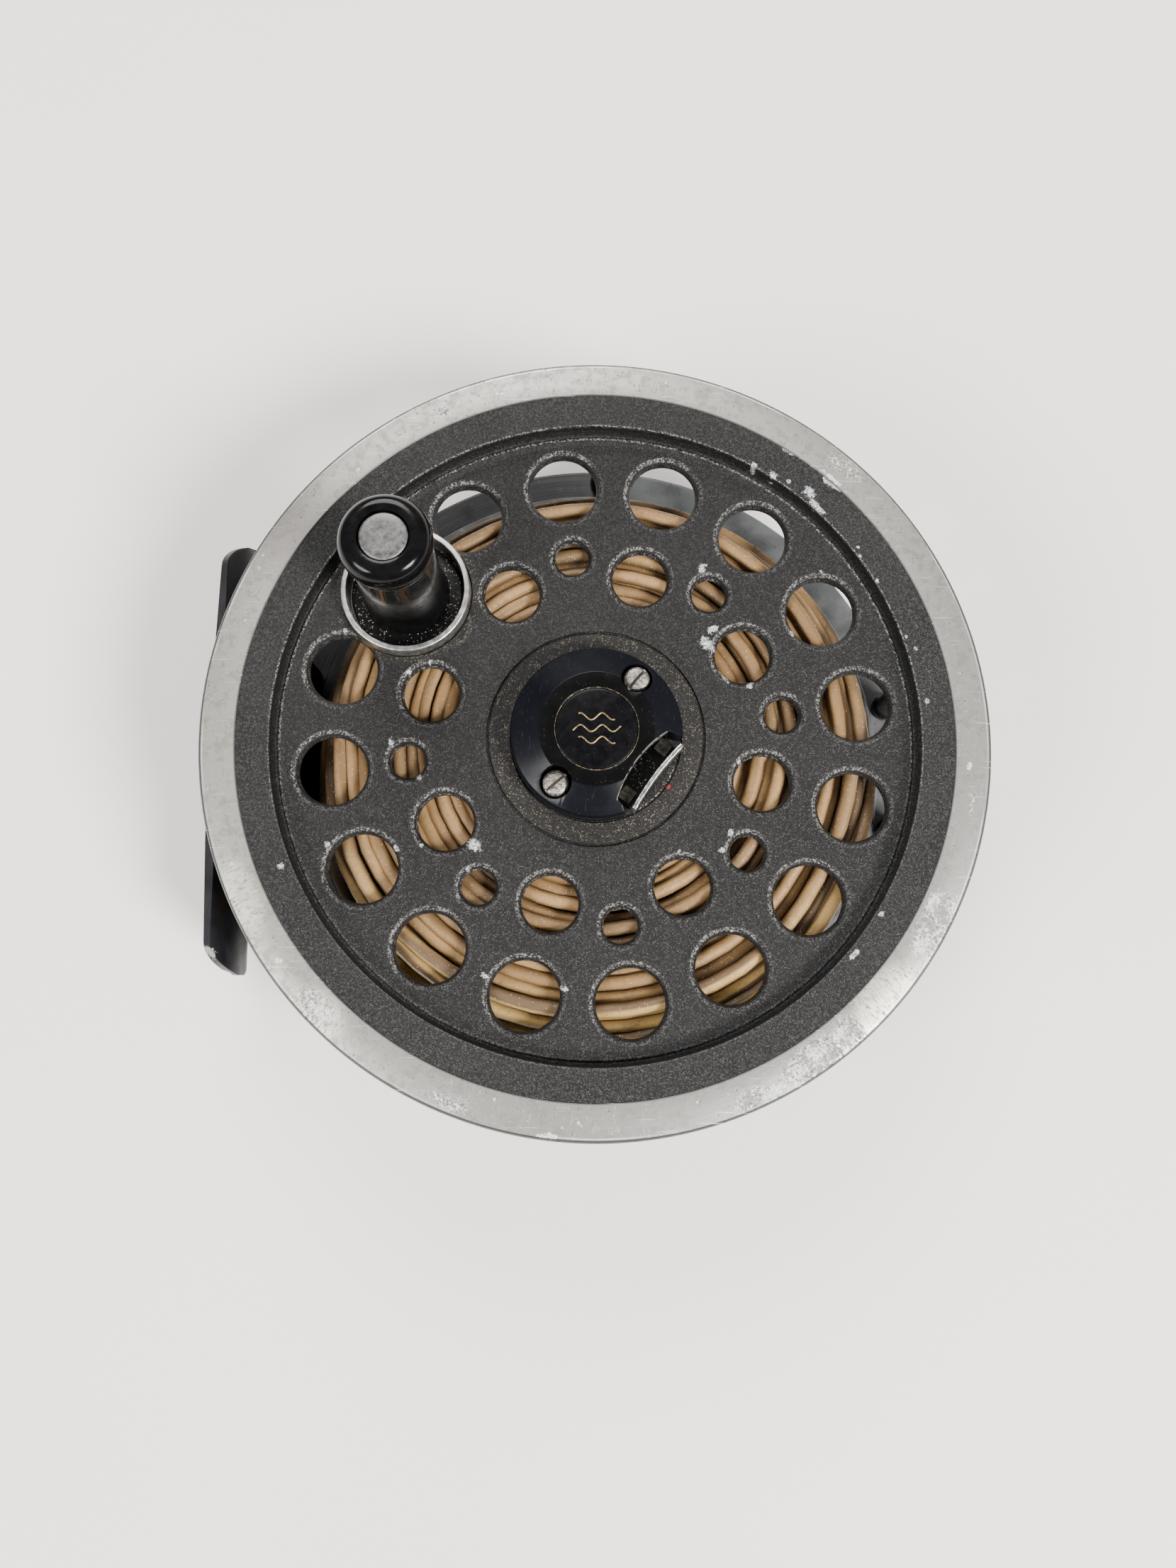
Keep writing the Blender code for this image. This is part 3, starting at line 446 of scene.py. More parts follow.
def black_enamel(name="black_enamel", tone=1.0, gloss=0.22, dust_share=0.10, worn=0.0, chip=None):
    """Dusty black enamel, scuffed, and bare round a chip when one is given."""
    g = Graph(name, specular=0.3)
    haze = g.noise(0.25, 4.0, 0.6)
    deep = tuple(tone * part for part in (0.0018, 0.002, 0.003))
    pale = tuple(tone * part for part in (0.0045, 0.0048, 0.006))
    g.colour = g.mix(g.ramp(haze, 0.35, 0.75), deep, pale)
    dust = g.times(g.specks(3.4, dust_share, 0.22), g.ramp(g.noise(0.5, 2.0), 0.35, 0.65))
    g.paint((0.1, 0.085, 0.06), dust, 0.45)
    scuff = g.ramp(g.noise(1.2, 4.0, 0.75, distortion=1.0), 0.78 - worn, 0.84 - worn)
    g.paint((0.1, 0.1, 0.1), scuff, 0.6)
    if chip is not None:
        near = g.ramp(g.away_from(*chip[:3]), chip[3], 0.0)
        bare = g.ramp(g.plus(g.noise(0.9, 4.0, 0.7), g.times(near, 0.45)), 0.78, 0.82)
        g.paint((0.26, 0.26, 0.25), bare)
    rough = g.plus(g.blend(g.ramp(haze, 0.3, 0.75), gloss - 0.05, gloss + 0.13), g.times(dust, 0.3))
    return g.done(rough, None, g.noise(1.6, 2.0, 0.5), 0.02, 0.35)


def cap_enamel():
    """Black enamel with fine scratches, worn through along the edge of the latch notch."""
    g = Graph("cap_enamel", specular=0.15)
    x, y, z = g.xyz
    haze = g.noise(0.25, 4.0, 0.6)
    cone = g.ramp(g.radius, 6.9, 7.2)
    g.colour = g.mix(cone, (0.001, 0.001, 0.0012), (0.0036, 0.004, 0.0064))
    scratch = g.ramp(g.noise(1.0, 3.0, 0.6, g.combine(g.times(x, 0.7), g.times(y, 0.7), g.times(x, 4.0))),
                     0.6, 0.74)
    g.paint((0.035, 0.036, 0.042), scratch, cone, 0.35)
    dust = g.times(g.specks(3.8, 0.2, 0.24), g.ramp(g.noise(0.5, 2.0), 0.35, 0.65))
    g.paint((0.1, 0.085, 0.06), dust, 0.5)
    bow = g.gap(g.away_from(*polar(21.65, LATCH_ANGLE)), 15.5)
    beside = g.math("ABSOLUTE", g.vector("DOT_PRODUCT", g.mm, (*polar(1.0, LATCH_ANGLE + 90.0), 0.0)))
    worn = g.times(g.ramp(bow, 0.11, 0.03), g.ramp(z, 31.7, 32.1), g.ramp(g.noise(1.8, 3.0), 0.38, 0.5),
                   g.ramp(beside, 5.5, 5.2))
    g.paint((0.2, 0.19, 0.18), worn, 0.8)
    rough = g.plus(g.blend(g.ramp(haze, 0.3, 0.75), 0.26, 0.4), g.times(dust, 0.3))
    return g.done(rough, None, g.minus(haze, g.times(scratch, 0.3)), 0.02, 0.4)


def grey_satin():
    """Anodised grey, brighter towards +X where the photo shows it lit."""
    g = Graph("grey_satin", roughness=0.3, metallic=0.6)
    x, y, _ = g.xyz
    turning = g.noise(1.0, 3.0, 0.6, g.ringed(5.0, 2.0))
    haze = g.noise(0.2, 4.0, 0.6)
    brighter = g.ramp(g.plus(x, g.times(y, 0.1)), -4.0, 32.0)
    g.colour = g.mix(brighter, (0.009, 0.0092, 0.0098), (0.13, 0.135, 0.14))
    g.paint(g.mix(brighter, (0.016, 0.0165, 0.017), (0.25, 0.26, 0.265)), g.ramp(haze, 0.35, 0.7, 0.0, 0.5))
    g.paint((0.14, 0.145, 0.15), g.ramp(turning, 0.45, 0.7, 0.0, 0.1))
    stain = g.ramp(g.noise(0.7, 4.0, 0.7), 0.6, 0.72)
    g.paint((0.05, 0.05, 0.05), stain, 0.5)
    return g.done(g.blend(g.ramp(haze, 0.3, 0.7), 0.26, 0.42), None, turning, 0.02, 0.3)


def steel(name, colour_low, colour_high, rough, grain, pitted=0.12):
    """Brushed and pitted steel with grime."""
    g = Graph(name, roughness=rough, metallic=1.0)
    x, y, z = g.xyz
    streak = g.noise(1.0, 3.0, 0.6,
                     g.combine(g.times(x, grain[0]), g.times(y, grain[1]), g.times(z, grain[2])))
    mottle = g.noise(1.6, 4.0, 0.7)
    g.colour = g.mix(g.ramp(mottle, 0.3, 0.7), colour_low, colour_high)
    bright = tuple(min(1.7 * part, 0.8) for part in colour_high)
    dark = tuple(0.35 * part for part in colour_low)
    g.paint(bright, g.ramp(streak, 0.55, 0.8, 0.0, 0.4))
    pits = g.specks(3.0, pitted, 0.22)
    g.paint(dark, pits, 0.6)
    grime = g.ramp(g.noise(0.9, 3.0, 0.6), 0.56, 0.7)
    g.paint(dark, grime, 0.35)
    height = g.minus(g.times(streak, 0.5), g.times(pits, 0.7))
    return g.done(g.blend(grime, g.blend(g.ramp(mottle, 0.3, 0.7), rough - 0.06, rough + 0.12), 0.55), None,
                  height, 0.03, 0.6)


def hub_screw_steel():
    """Nickelled heads, scratched, with dirt in the driver slot."""
    g = Graph("hub_screw_steel")
    x, y, z = g.xyz
    mottle = g.noise(2.2, 4.0, 0.7)
    scratch = g.ramp(g.noise(1.0, 2.0, 0.6, g.combine(g.times(x, 1.5), g.times(y, 7.0), 0.0)), 0.55, 0.7)
    g.colour = g.mix(g.ramp(mottle, 0.35, 0.65), (0.17, 0.156, 0.136), (0.38, 0.352, 0.315))
    g.paint((0.66, 0.62, 0.56), scratch, 0.5)
    slot = g.times(g.ramp(z, 32.24, 32.1), g.ramp(g.radius, 1.5, 1.35))
    g.paint((0.045, 0.038, 0.03), slot, 0.85)
    return g.done(g.blend(g.ramp(mottle, 0.3, 0.7), 0.34, 0.52), g.blend(slot, 0.95, 0.2),
                  g.plus(mottle, scratch), 0.03, 0.7)


def turned_metal(name, colour_low, colour_high):
    """Bright metal with the lathe's rings about its own axis."""
    rough = 0.32
    g = Graph(name, roughness=rough, metallic=1.0)
    rings = g.noise(1.0, 2.0, 0.5, g.ringed(9.0, 0.6))
    mottle = g.noise(1.3, 4.0, 0.65)
    g.colour = g.mix(g.ramp(mottle, 0.3, 0.7), colour_low, colour_high)
    g.paint((0.72, 0.72, 0.7), g.ramp(rings, 0.5, 0.75, 0.0, 0.35))
    nick = g.specks(1.4, 0.14, 0.22)
    g.paint((0.16, 0.15, 0.14), nick, 0.6)
    height = g.minus(g.times(rings, 0.6), nick)
    return g.done(g.blend(g.ramp(mottle, 0.3, 0.7), rough, rough + 0.15), None, height, 0.03, 0.6)


def knob_black():
    """Polished black, duller and dustier towards the flange."""
    g = Graph("knob_black", specular=0.16)
    x, y, z = g.xyz
    smear = g.noise(0.5, 4.0, 0.65)
    scratch = g.ramp(g.noise(1.0, 2.0, 0.6, g.combine(g.times(x, 1.0), g.times(y, 1.0), g.times(z, 9.0))),
                     0.66, 0.74)
    g.colour = g.mix(g.ramp(smear, 0.3, 0.7), (0.0015, 0.0015, 0.0018), (0.004, 0.004, 0.0044))
    dust = g.times(g.specks(3.0, 0.1, 0.16), g.ramp(z, 33.0, 29.0, 0.25, 1.0))
    g.paint((0.12, 0.1, 0.08), dust, 0.4)
    rough = g.plus(g.blend(g.ramp(smear, 0.3, 0.75), 0.08, 0.2), g.ramp(z, 41.0, 34.0, 0.0, 0.2))
    rough = g.plus(rough, g.plus(g.times(scratch, 0.12), g.times(dust, 0.3)))
    return g.done(rough, None, g.plus(g.times(scratch, 0.4), g.times(smear, 0.5)), 0.015, 0.5)


def dusty_black():
    """Black under a coat of pale dust."""
    g = Graph("dusty_black", specular=0.25)
    grain = g.noise(2.6, 4.0, 0.7)
    g.colour = g.mix(g.ramp(grain, 0.4, 0.7), (0.0015, 0.0015, 0.0015), (0.006, 0.0055, 0.005))
    dust = g.times(g.specks(4.0, 0.4, 0.4), g.ramp(g.noise(1.0, 2.0), 0.3, 0.55))
    g.paint((0.36, 0.34, 0.3), dust, 0.9)
    return g.done(g.blend(dust, 0.28, 0.8), None, grain, 0.05, 0.6)


def badge_black():
    """Smooth black of the badge."""
    g = Graph("badge_black", specular=0.11)
    haze = g.noise(0.8, 4.0, 0.6)
    g.colour = g.mix(g.ramp(haze, 0.3, 0.7), (0.0015, 0.0015, 0.002), (0.004, 0.004, 0.0048))
    dust = g.specks(3.6, 0.12, 0.2)
    g.paint((0.1, 0.085, 0.055), dust, 0.45)
    return g.done(g.blend(g.ramp(haze, 0.3, 0.7), 0.27, 0.33), None, haze, 0.005, 0.2)


def gilt(name, worn_from, worn_to):
    """Gilding worn through to black."""
    g = Graph(name)
    wear = g.noise(2.4, 4.0, 0.7)
    gone = g.ramp(wear, worn_from, worn_to)
    g.colour = g.mix(gone, (0.29, 0.21, 0.1), (0.01, 0.009, 0.008))
    return g.done(g.blend(gone, 0.34, 0.55), g.blend(gone, 0.9, 0.0), wear, 0.02, 0.5)


def brass():
    """Tarnished brass."""
    g = Graph("brass", roughness=0.32, metallic=1.0)
    tarnish = g.noise(0.6, 4.0, 0.65)
    rings = g.noise(1.0, 2.0, 0.5, g.combine(g.times(g.radius, 7.0), 0.0))
    g.colour = g.mix(g.ramp(tarnish, 0.35, 0.7), (0.62, 0.43, 0.16), (0.3, 0.2, 0.08))
    return g.done(g.blend(g.ramp(tarnish, 0.3, 0.7), 0.28, 0.5), None, rings, 0.02, 0.5)


def line_coating():
    """Tan line coating, with dark specks and grime, a painted yellow highlight on the low outer strands, and
    painted shade between the strands, on the darker outer strands and under the small holes.
    """
    g = Graph("line_coating", roughness=0.55, specular=0.32)
    _, y, z = g.xyz
    radius = g.radius
    strand = g.noise(1.0, 1.0, 0.5,
                     g.combine(g.times(radius, 0.62), g.times(z, 0.5), g.times(g.angle, 0.8)))
    g.colour = g.mix(g.ramp(strand, 0.35, 0.66), (0.18, 0.104, 0.042), (0.3, 0.18, 0.075))
    low = g.ramp(y, -6.0, -28.0)
    outer = g.ramp(radius, 31.0, 34.5)
    # Painted highlight: yellow on the low outer strands where they are side-lit.
    g.paint((0.4, 0.262, 0.09), low, outer, g.ramp(strand, 0.41, 0.54), 0.85)
    # Painted shade on the darker outer strands.
    g.paint((0.07, 0.048, 0.028), outer, g.ramp(strand, 0.5, 0.36), 0.8)
    # Painted shade where the strands turn away from straight up: the valleys between them.
    valley_shade = g.ramp(g.along((0.0, 0.0, 1.0)), 0.8, 0.25)
    beside = g.times(outer, g.ramp(g.math("ABSOLUTE", y), 22.0, 10.0))
    g.paint((0.075, 0.048, 0.026), beside, 0.55)
    g.paint((0.062, 0.042, 0.025), valley_shade, g.blend(low, 0.62, 0.45))
    grime = g.noise(1.6, 5.0, 0.75)
    g.paint((0.11, 0.074, 0.04), g.ramp(grime, 0.5, 0.7, 0.0, 0.55))
    # Painted shade under the small holes of the flange, where the line lies deeper.
    eighths = g.math("COSINE", g.times(g.minus(g.angle, math.radians(HANDLE_ANGLE)), 8.0))
    small_hole_shade = g.times(g.ramp(eighths, 0.1, 0.7), g.ramp(g.gap(radius, 23.6), 3.2, 2.2))
    g.paint((0.048, 0.034, 0.021), small_hole_shade, 0.42)
    fleck = g.specks(3.0, 0.2, 0.28)
    g.paint((0.55, 0.47, 0.34), fleck, 0.65)
    soot = g.specks(3.3, 0.1, 0.24)
    g.paint((0.03, 0.02, 0.012), soot, 0.7)
    skin = g.noise(2.4, 4.0, 0.7)
    return g.done(g.blend(g.ramp(grime, 0.4, 0.7), 0.4, 0.75), None, skin, 0.08, 0.7)


def paper_floor():
    """Pale paper."""
    g = Graph("pale_floor", roughness=0.6)
    cloud = g.noise(0.006, 3.0, 0.5)
    g.colour = g.mix(g.ramp(cloud, 0.3, 0.7), (0.83, 0.805, 0.785), (0.88, 0.855, 0.835))
    return g.done(None, None, g.noise(0.8, 3.0, 0.6), 0.01, 0.2)


WRINKLE = wrinkle_paint()
RIM = bare_rim()
ENAMEL = black_enamel()
FOOT_ENAMEL = black_enamel("foot_enamel", tone=2.2, gloss=0.38, dust_share=0.06, worn=0.03,
                           chip=(-50.0, -27.0, 7.5, 3.0))
CAP_ENAMEL = cap_enamel()
SATIN = grey_satin()
SCREW_STEEL = steel("screw_steel", (0.40, 0.37, 0.33), (0.62, 0.58, 0.53), 0.36, (4.0, 4.0, 1.0))
HUB_SCREW_STEEL = hub_screw_steel()
TAB_STEEL = steel("tab_steel", (0.50, 0.50, 0.48), (0.66, 0.66, 0.63), 0.28, (1.0, 1.0, 9.0))
RIVET_STEEL = steel("rivet_steel", (0.105, 0.105, 0.103), (0.20, 0.20, 0.195), 0.45, (3.0, 3.0, 3.0), 0.40)
RING_METAL = turned_metal("ring_metal", (0.40, 0.40, 0.38), (0.58, 0.58, 0.56))
LUG_METAL = steel("lug_metal", (0.030, 0.028, 0.025), (0.075, 0.070, 0.062), 0.5, (2.0, 2.0, 2.0), 0.3)
BOSS_METAL = turned_metal("boss_metal", (0.34, 0.34, 0.33), (0.5, 0.5, 0.48))
KNOB = knob_black()
DUSTY = dusty_black()
BADGE = badge_black()
GILT = gilt("gilt", 0.45, 0.68)
RING_GILT = gilt("ring_gilt", 0.40, 0.48)
BRASS = brass()
LINE = line_coating()


# ------ mesh helpers

def rounded(corners, steps=5):
    """Corners as (r, z) or (r, z, fillet radius), with the fillets as arcs."""
    points = []
    for i, corner in enumerate(corners):
        here = Vector(corner[:2])
        if len(corner) == 2:
            points.append(tuple(here))
            continue
        back = Vector(corners[i - 1][:2]) - here
        ahead = Vector(corners[(i + 1) % len(corners)][:2]) - here
        reach = 0.49 * min(back.length, ahead.length)
        back.normalize()
        ahead.normalize()
        half = back.angle(ahead) / 2
        cut = min(corner[2] / math.tan(half), reach)
        radius = cut * math.tan(half)
        centre = here + (back + ahead).normalized() * (radius / math.sin(half))
        start = here + back * cut - centre
        end = here + ahead * cut - centre
        sweep = start.angle(end)
        for k in range(steps + 1):
            t = k / steps
            spoke = (start * math.sin((1 - t) * sweep) + end * math.sin(t * sweep)) / math.sin(sweep)
            points.append(tuple(centre + spoke))
    return points


def smooth_curve(points, between=5):
    """A Catmull-Rom curve through the points."""
    out = []
    for i in range(len(points) - 1):
        p0 = Vector(points[max(i - 1, 0)])
        p1 = Vector(points[i])
        p2 = Vector(points[i + 1])
        p3 = Vector(points[min(i + 2, len(points) - 1)])
        for k in range(between):
            t = k / between
            out.append(tuple(0.5 * (2 * p1 + (p2 - p0) * t + (2 * p0 - 5 * p1 + 4 * p2 - p3) * t * t
                                    + (3 * p1 - p0 - 3 * p2 + p3) * t ** 3)))
    out.append(tuple(points[-1]))
    return out


def new_object(name, data, centre=ORIGIN):
    obj = bpy.data.objects.new(name, data)
    obj.location = Vector(centre) * MM
    bpy.context.scene.collection.objects.link(obj)
    return obj


def evaluated_mesh(obj):
    """A new mesh of an object as its modifiers or its curve make it."""
    bpy.context.view_layer.update()
    return bpy.data.meshes.new_from_object(obj.evaluated_get(bpy.context.evaluated_depsgraph_get()))


def filled(mesh, shape):
    """Put a finished bmesh into a mesh."""
    shape.to_mesh(mesh)
    shape.free()
    return mesh


def bake(obj, sharp=32.0, weighted=False):
    """Apply an object's modifiers and shade it smooth, with its sharp edges kept."""
    mesh = evaluated_mesh(obj)
    mesh.name = obj.name
    obj.modifiers.clear()
    obj.data = mesh
    mesh.shade_smooth()
    mesh.set_sharp_from_angle(angle=math.radians(sharp))
    if weighted:
        even = obj.modifiers.new("even_normals", "WEIGHTED_NORMAL")
        even.keep_sharp = True
    return obj


def turned(name, profile, centre=ORIGIN, steps=128):
    """Turn a profile of (r, z), run down its outer side, about Z."""
    mesh = bpy.data.meshes.new(name)
    edges = [(i, i + 1) for i in range(len(profile) - 1)]
    if profile[0][0] > 0.0:
        edges.append((len(profile) - 1, 0))
    mesh.from_pydata([(r * MM, 0.0, z * MM) for r, z in profile], edges, [])
    obj = new_object(name, mesh, centre)
    screw = obj.modifiers.new("turn", "SCREW")
    screw.steps = steps
    screw.render_steps = steps
    screw.use_merge_vertices = True
    screw.merge_threshold = 0.000001
    return bake(obj)


def plug(radius, top, bottom, place=(0.0, 0.0), steps=48):
    """A round upright cutter."""
    profile = [(0.0, top), (radius, top), (radius, bottom), (0.0, bottom)]
    return turned("plug", profile, (*place, 0.0), steps)


def joined(objects):
    """One cutter from several."""
    shape = bmesh.new()
    for obj in objects:
        mesh = obj.data.copy()
        mesh.transform(obj.matrix_basis)
        shape.from_mesh(mesh)
        bpy.data.meshes.remove(mesh)
        bpy.data.objects.remove(obj, do_unlink=True)
    return new_object("cutters", filled(bpy.data.meshes.new("cutters"), shape))


def cut(obj, cutter):
    """Cut with a mesh object, which is then removed."""
    modifier = obj.modifiers.new("cut", "BOOLEAN")
    modifier.solver = "EXACT"
    modifier.object = cutter
    bake(obj)
    bpy.data.objects.remove(cutter, do_unlink=True)


def bevelled(obj, width, segments=2, limit=30.0):
    edge = obj.modifiers.new("edge", "BEVEL")
    edge.width = width * MM
    edge.segments = segments
    edge.limit_method = "ANGLE"
    edge.angle_limit = math.radians(limit)
    return bake(obj, weighted=True)


def block(name, size, centre, turn=0.0):
    """A box turned about the spindle's axis."""
    shape = bmesh.new()
    scale = Matrix.Diagonal((*(side * MM for side in size), 1.0))
    spin = Matrix.Rotation(math.radians(turn), 4, "Z")
    bmesh.ops.create_cube(shape, size=1.0, matrix=spin @ Matrix.Translation(Vector(centre) * MM) @ scale)
    return new_object(name, filled(bpy.data.meshes.new(name), shape))


def poly_spline(curve, places):
    """A straight-edged spline through places given in metres."""
    spline = curve.splines.new("POLY")
    spline.points.add(len(places) - 1)
    for point, place in zip(spline.points, places):
        point.co = (*place, 1.0)
    return spline


def extruded(name, outlines, z0, z1):
    """A flat piece from closed outlines; later ones are holes."""
    middle = (z0 + z1) / 2
    curve = bpy.data.curves.new(name, "CURVE")
    curve.dimensions = "2D"
    curve.fill_mode = "BOTH"
    curve.extrude = (z1 - z0) * MM / 2
    for outline in outlines:
        spline = poly_spline(curve, [(x * MM, y * MM, 0.0) for x, y in outline])
        spline.use_cyclic_u = True
    obj = new_object(name, curve)
    mesh = evaluated_mesh(obj)
    shape = bmesh.new()
    shape.from_mesh(mesh)
    bmesh.ops.remove_doubles(shape, verts=shape.verts, dist=0.000002)
    bmesh.ops.translate(shape, vec=(0.0, 0.0, middle * MM), verts=shape.verts)
    bpy.data.objects.remove(obj, do_unlink=True)
    return new_object(name, filled(mesh, shape))


def wire(name, points, radius, cyclic=False):
    """A round wire along the points."""
    curve = bpy.data.curves.new(name, "CURVE")
    curve.dimensions = "3D"
    curve.bevel_depth = radius * MM
    curve.bevel_resolution = 2
    curve.use_fill_caps = True
    spline = poly_spline(curve, [Vector(point) * MM for point in points])
    spline.use_cyclic_u = cyclic
    return new_object(name, curve)


def arc(radius, start, end, count, centre=(0.0, 0.0)):
    points = []
    for i in range(count):
        x, y = polar(radius, start + (end - start) * i / (count - 1))
        points.append((centre[0] + x, centre[1] + y))
    return points


def stand_for(obj, material, body, *nodes, slot):
    """Give a piece its material, body and the CAD nodes it is shown for."""
    obj.data.materials.clear()
    obj.data.materials.append(material)
    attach(obj, body)
    if nodes:
        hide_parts(*nodes)


def turned_piece(name, corners, steps, material, body, node, slot, place=(0.0, 0.0)):
    """A visible piece turned from rounded corners."""
    piece = turned(name, rounded(corners), (*place, 0.0), steps)
    stand_for(piece, material, body, node, slot=slot)


def slotted_head(name, profile, steps, slot, slot_z, slot_turn, bevel, segments):
    """A turned screw head with a driver slot and softened edges."""
    head = turned(name, profile, steps=steps)
    cut(head, block("slot", slot, (0.0, 0.0, slot_z), slot_turn))
    return bevelled(head, bevel, segments)


# ------ spool

def build_rim():
    turned_piece("look_spool_rim", [
        (44.28, 30.64, 0.12), (46.6, 30.46), (48.75, 30.02, 0.25), (49.0, 29.55, 0.3),
        (49.0, 24.2, 0.45), (46.2, 24.2, 0.3), (46.2, 28.7, 0.3), (44.28, 28.7),
    ], 256, RIM, "spool", "spool_rim", "bare_rim")


def lightening_holes():
    """Cutters for the flange holes: each flares into a soft lip at the face."""
    lip_width = 0.80
    lip = ((lip_width, 0.0), (0.62, -0.05), (0.42, -0.17), (0.25, -0.34), (0.12, -0.55), (0.03, -0.80),
           (0.0, -1.0))
    above, below = FACE_Z + 0.2, FACE_BACK_Z - 0.6
    cutters = []
    for k in range(1, HOLE_PLACES):
        inner = MIDDLE_RING if k % 2 else SMALL_RING
        for ring_r, hole_r in (OUTER_RING, inner):
            x, y = polar(ring_r, HANDLE_ANGLE + k * (360.0 / HOLE_PLACES))
            wide = hole_r + HOLE_LIP + 0.01
            flare = [(hole_r + HOLE_LIP * out / lip_width, FACE_Z + down) for out, down in lip]
            profile = [(0.0, above), (wide, above), (wide, FACE_Z + 0.002)]
            profile += flare + [(hole_r, below), (0.0, below)]
            cutters.append(turned("hole", profile, (x, y, 0.0), steps=56))
    return joined(cutters)


def build_front_flange():
    """The perforated face: cap seat, hub line, ridge and the groove beside the rim."""
    seat_r = CAP_R + 0.12
    seat_z = FACE_Z - 0.28
    line_z = FACE_Z - 0.38
    profile = [(44.26, 30.52), (44.26, 28.9), (41.4, 28.9), (41.1, FACE_BACK_Z), (BORE_R, FACE_BACK_Z),
               (BORE_R, seat_z)]
    profile += rounded([(9.0, seat_z), (seat_r, seat_z, 0.04), (seat_r + 0.05, FACE_Z, 0.04),
                        (HUB_LINE_R - 0.22, FACE_Z, 0.05), (HUB_LINE_R - 0.14, line_z, 0.03),
                        (HUB_LINE_R + 0.10, line_z, 0.03), (HUB_LINE_R + 0.16, FACE_Z, 0.05),
                        (14.4, FACE_Z)])
    ridge = ((-1.35, 0.0), (-0.9, 0.04), (-0.45, 0.19), (0.0, 0.28), (0.17, 0.13), (0.30, 0.02),
             (0.44, 0.12), (0.58, 0.42))
    profile += smooth_curve([(RIDGE_R + out, FACE_Z + up) for out, up in ridge]
                            + [(GROOVE_R - 0.08, 29.0), (GROOVE_R - 0.02, 29.7), (GROOVE_R, 30.1)], 4)
    profile += rounded([(GROOVE_R, 30.15), (GROOVE_R + 0.02, 30.24, 0.05), (41.4, 30.3), (43.2, 30.42)])
    flange = turned("look_front_flange", profile, steps=256)
    cut(flange, lightening_holes())
    cut(flange, plug(8.3, 32.0, 25.0, HANDLE_XY, 96))
    bake(flange, sharp=40.0, weighted=True)
    stand_for(flange, WRINKLE, "spool", "spool_front_flange", slot="wrinkle_grey")


def build_rear_flange_and_drum():
    turned_piece("look_rear_flange", [(40.2, 7.3, 0.3), (40.2, 6.1, 0.3), (BORE_R, 6.1), (BORE_R, 7.3)],
                 192, SATIN, "spool", "spool_rear_flange", "grey_satin")
    turned_piece("look_drum", [(13.6, 26.4, 0.2), (13.6, 7.6, 0.2), (11.8, 7.6), (11.8, 26.4)],
                 96, SATIN, "spool", "spool_drum", "grey_satin")


def shoulder(angle):
    """Radius at which the uneven wound line starts to fall away from the flange."""
    up = math.sin(angle)
    return 33.3 - (1.8 if up > 0.0 else 3.2) * up + 0.6 * math.cos(angle)


def low_side(angle):
    """1 on the side where the winding bulges, fading to 0 round the rest."""
    turn = math.degrees(angle) % 360.0
    rise = min(max((turn - 184.0) / 24.0, 0.0), 1.0)
    fall = min(max((338.0 - turn) / 38.0, 0.0), 1.0)
    share = min(rise, fall)
    return share * share * (3.0 - 2.0 * share)


def build_fly_line():
    """The whole winding as one continuous line, laid in layers across the drum."""
    rng = random.Random(7)
    thick = 1.84
    per_turn = 56
    low, high = 8.5, 25.5
    layers = 15
    first, last = 14.6, 35.6
    points = []
    for layer in range(layers):
        share_out = layer / (layers - 1)
        radius = first + share_out * (last - first)
        turns = 9 + (layer % 2)
        tilt = rng.uniform(0.15, 0.6)
        turn_at = rng.uniform(0.0, 6.28)
        wobble = [rng.uniform(-0.26, 0.26) for _ in range(turns + 1)]
        tips = [rng.uniform(-0.45, 0.45) for _ in range(turns + 1)]
        for step in range(turns * per_turn):
            progress = step / (turns * per_turn)
            k = int(progress * turns)
            f = progress * turns - k
            angle = 2.0 * math.pi * step / per_turn
            bulge = 1.7 * share_out ** 2 * low_side(angle)
            r = radius + bulge + wobble[k] * (1 - f) + wobble[k + 1] * f + 0.16 * math.sin(3.0 * angle + k)
            fall = 2.5 * max(r - shoulder(angle), 0.0)
            top = high - min(fall, 14.0)
            share = progress if layer % 2 == 0 else 1.0 - progress
            z = low + (top - low) * share + tilt * math.sin(angle + turn_at) * (0.35 + 0.65 * share)
            z += (tips[k] * (1 - f) + tips[k + 1] * f) * 0.7
            points.append((r * math.cos(angle), r * math.sin(angle), min(max(z, low), high + 0.1)))
    line = wire("look_fly_line", points, thick / 2)
    stand_for(line, LINE, "spool", "fly_line", slot="line_tan")


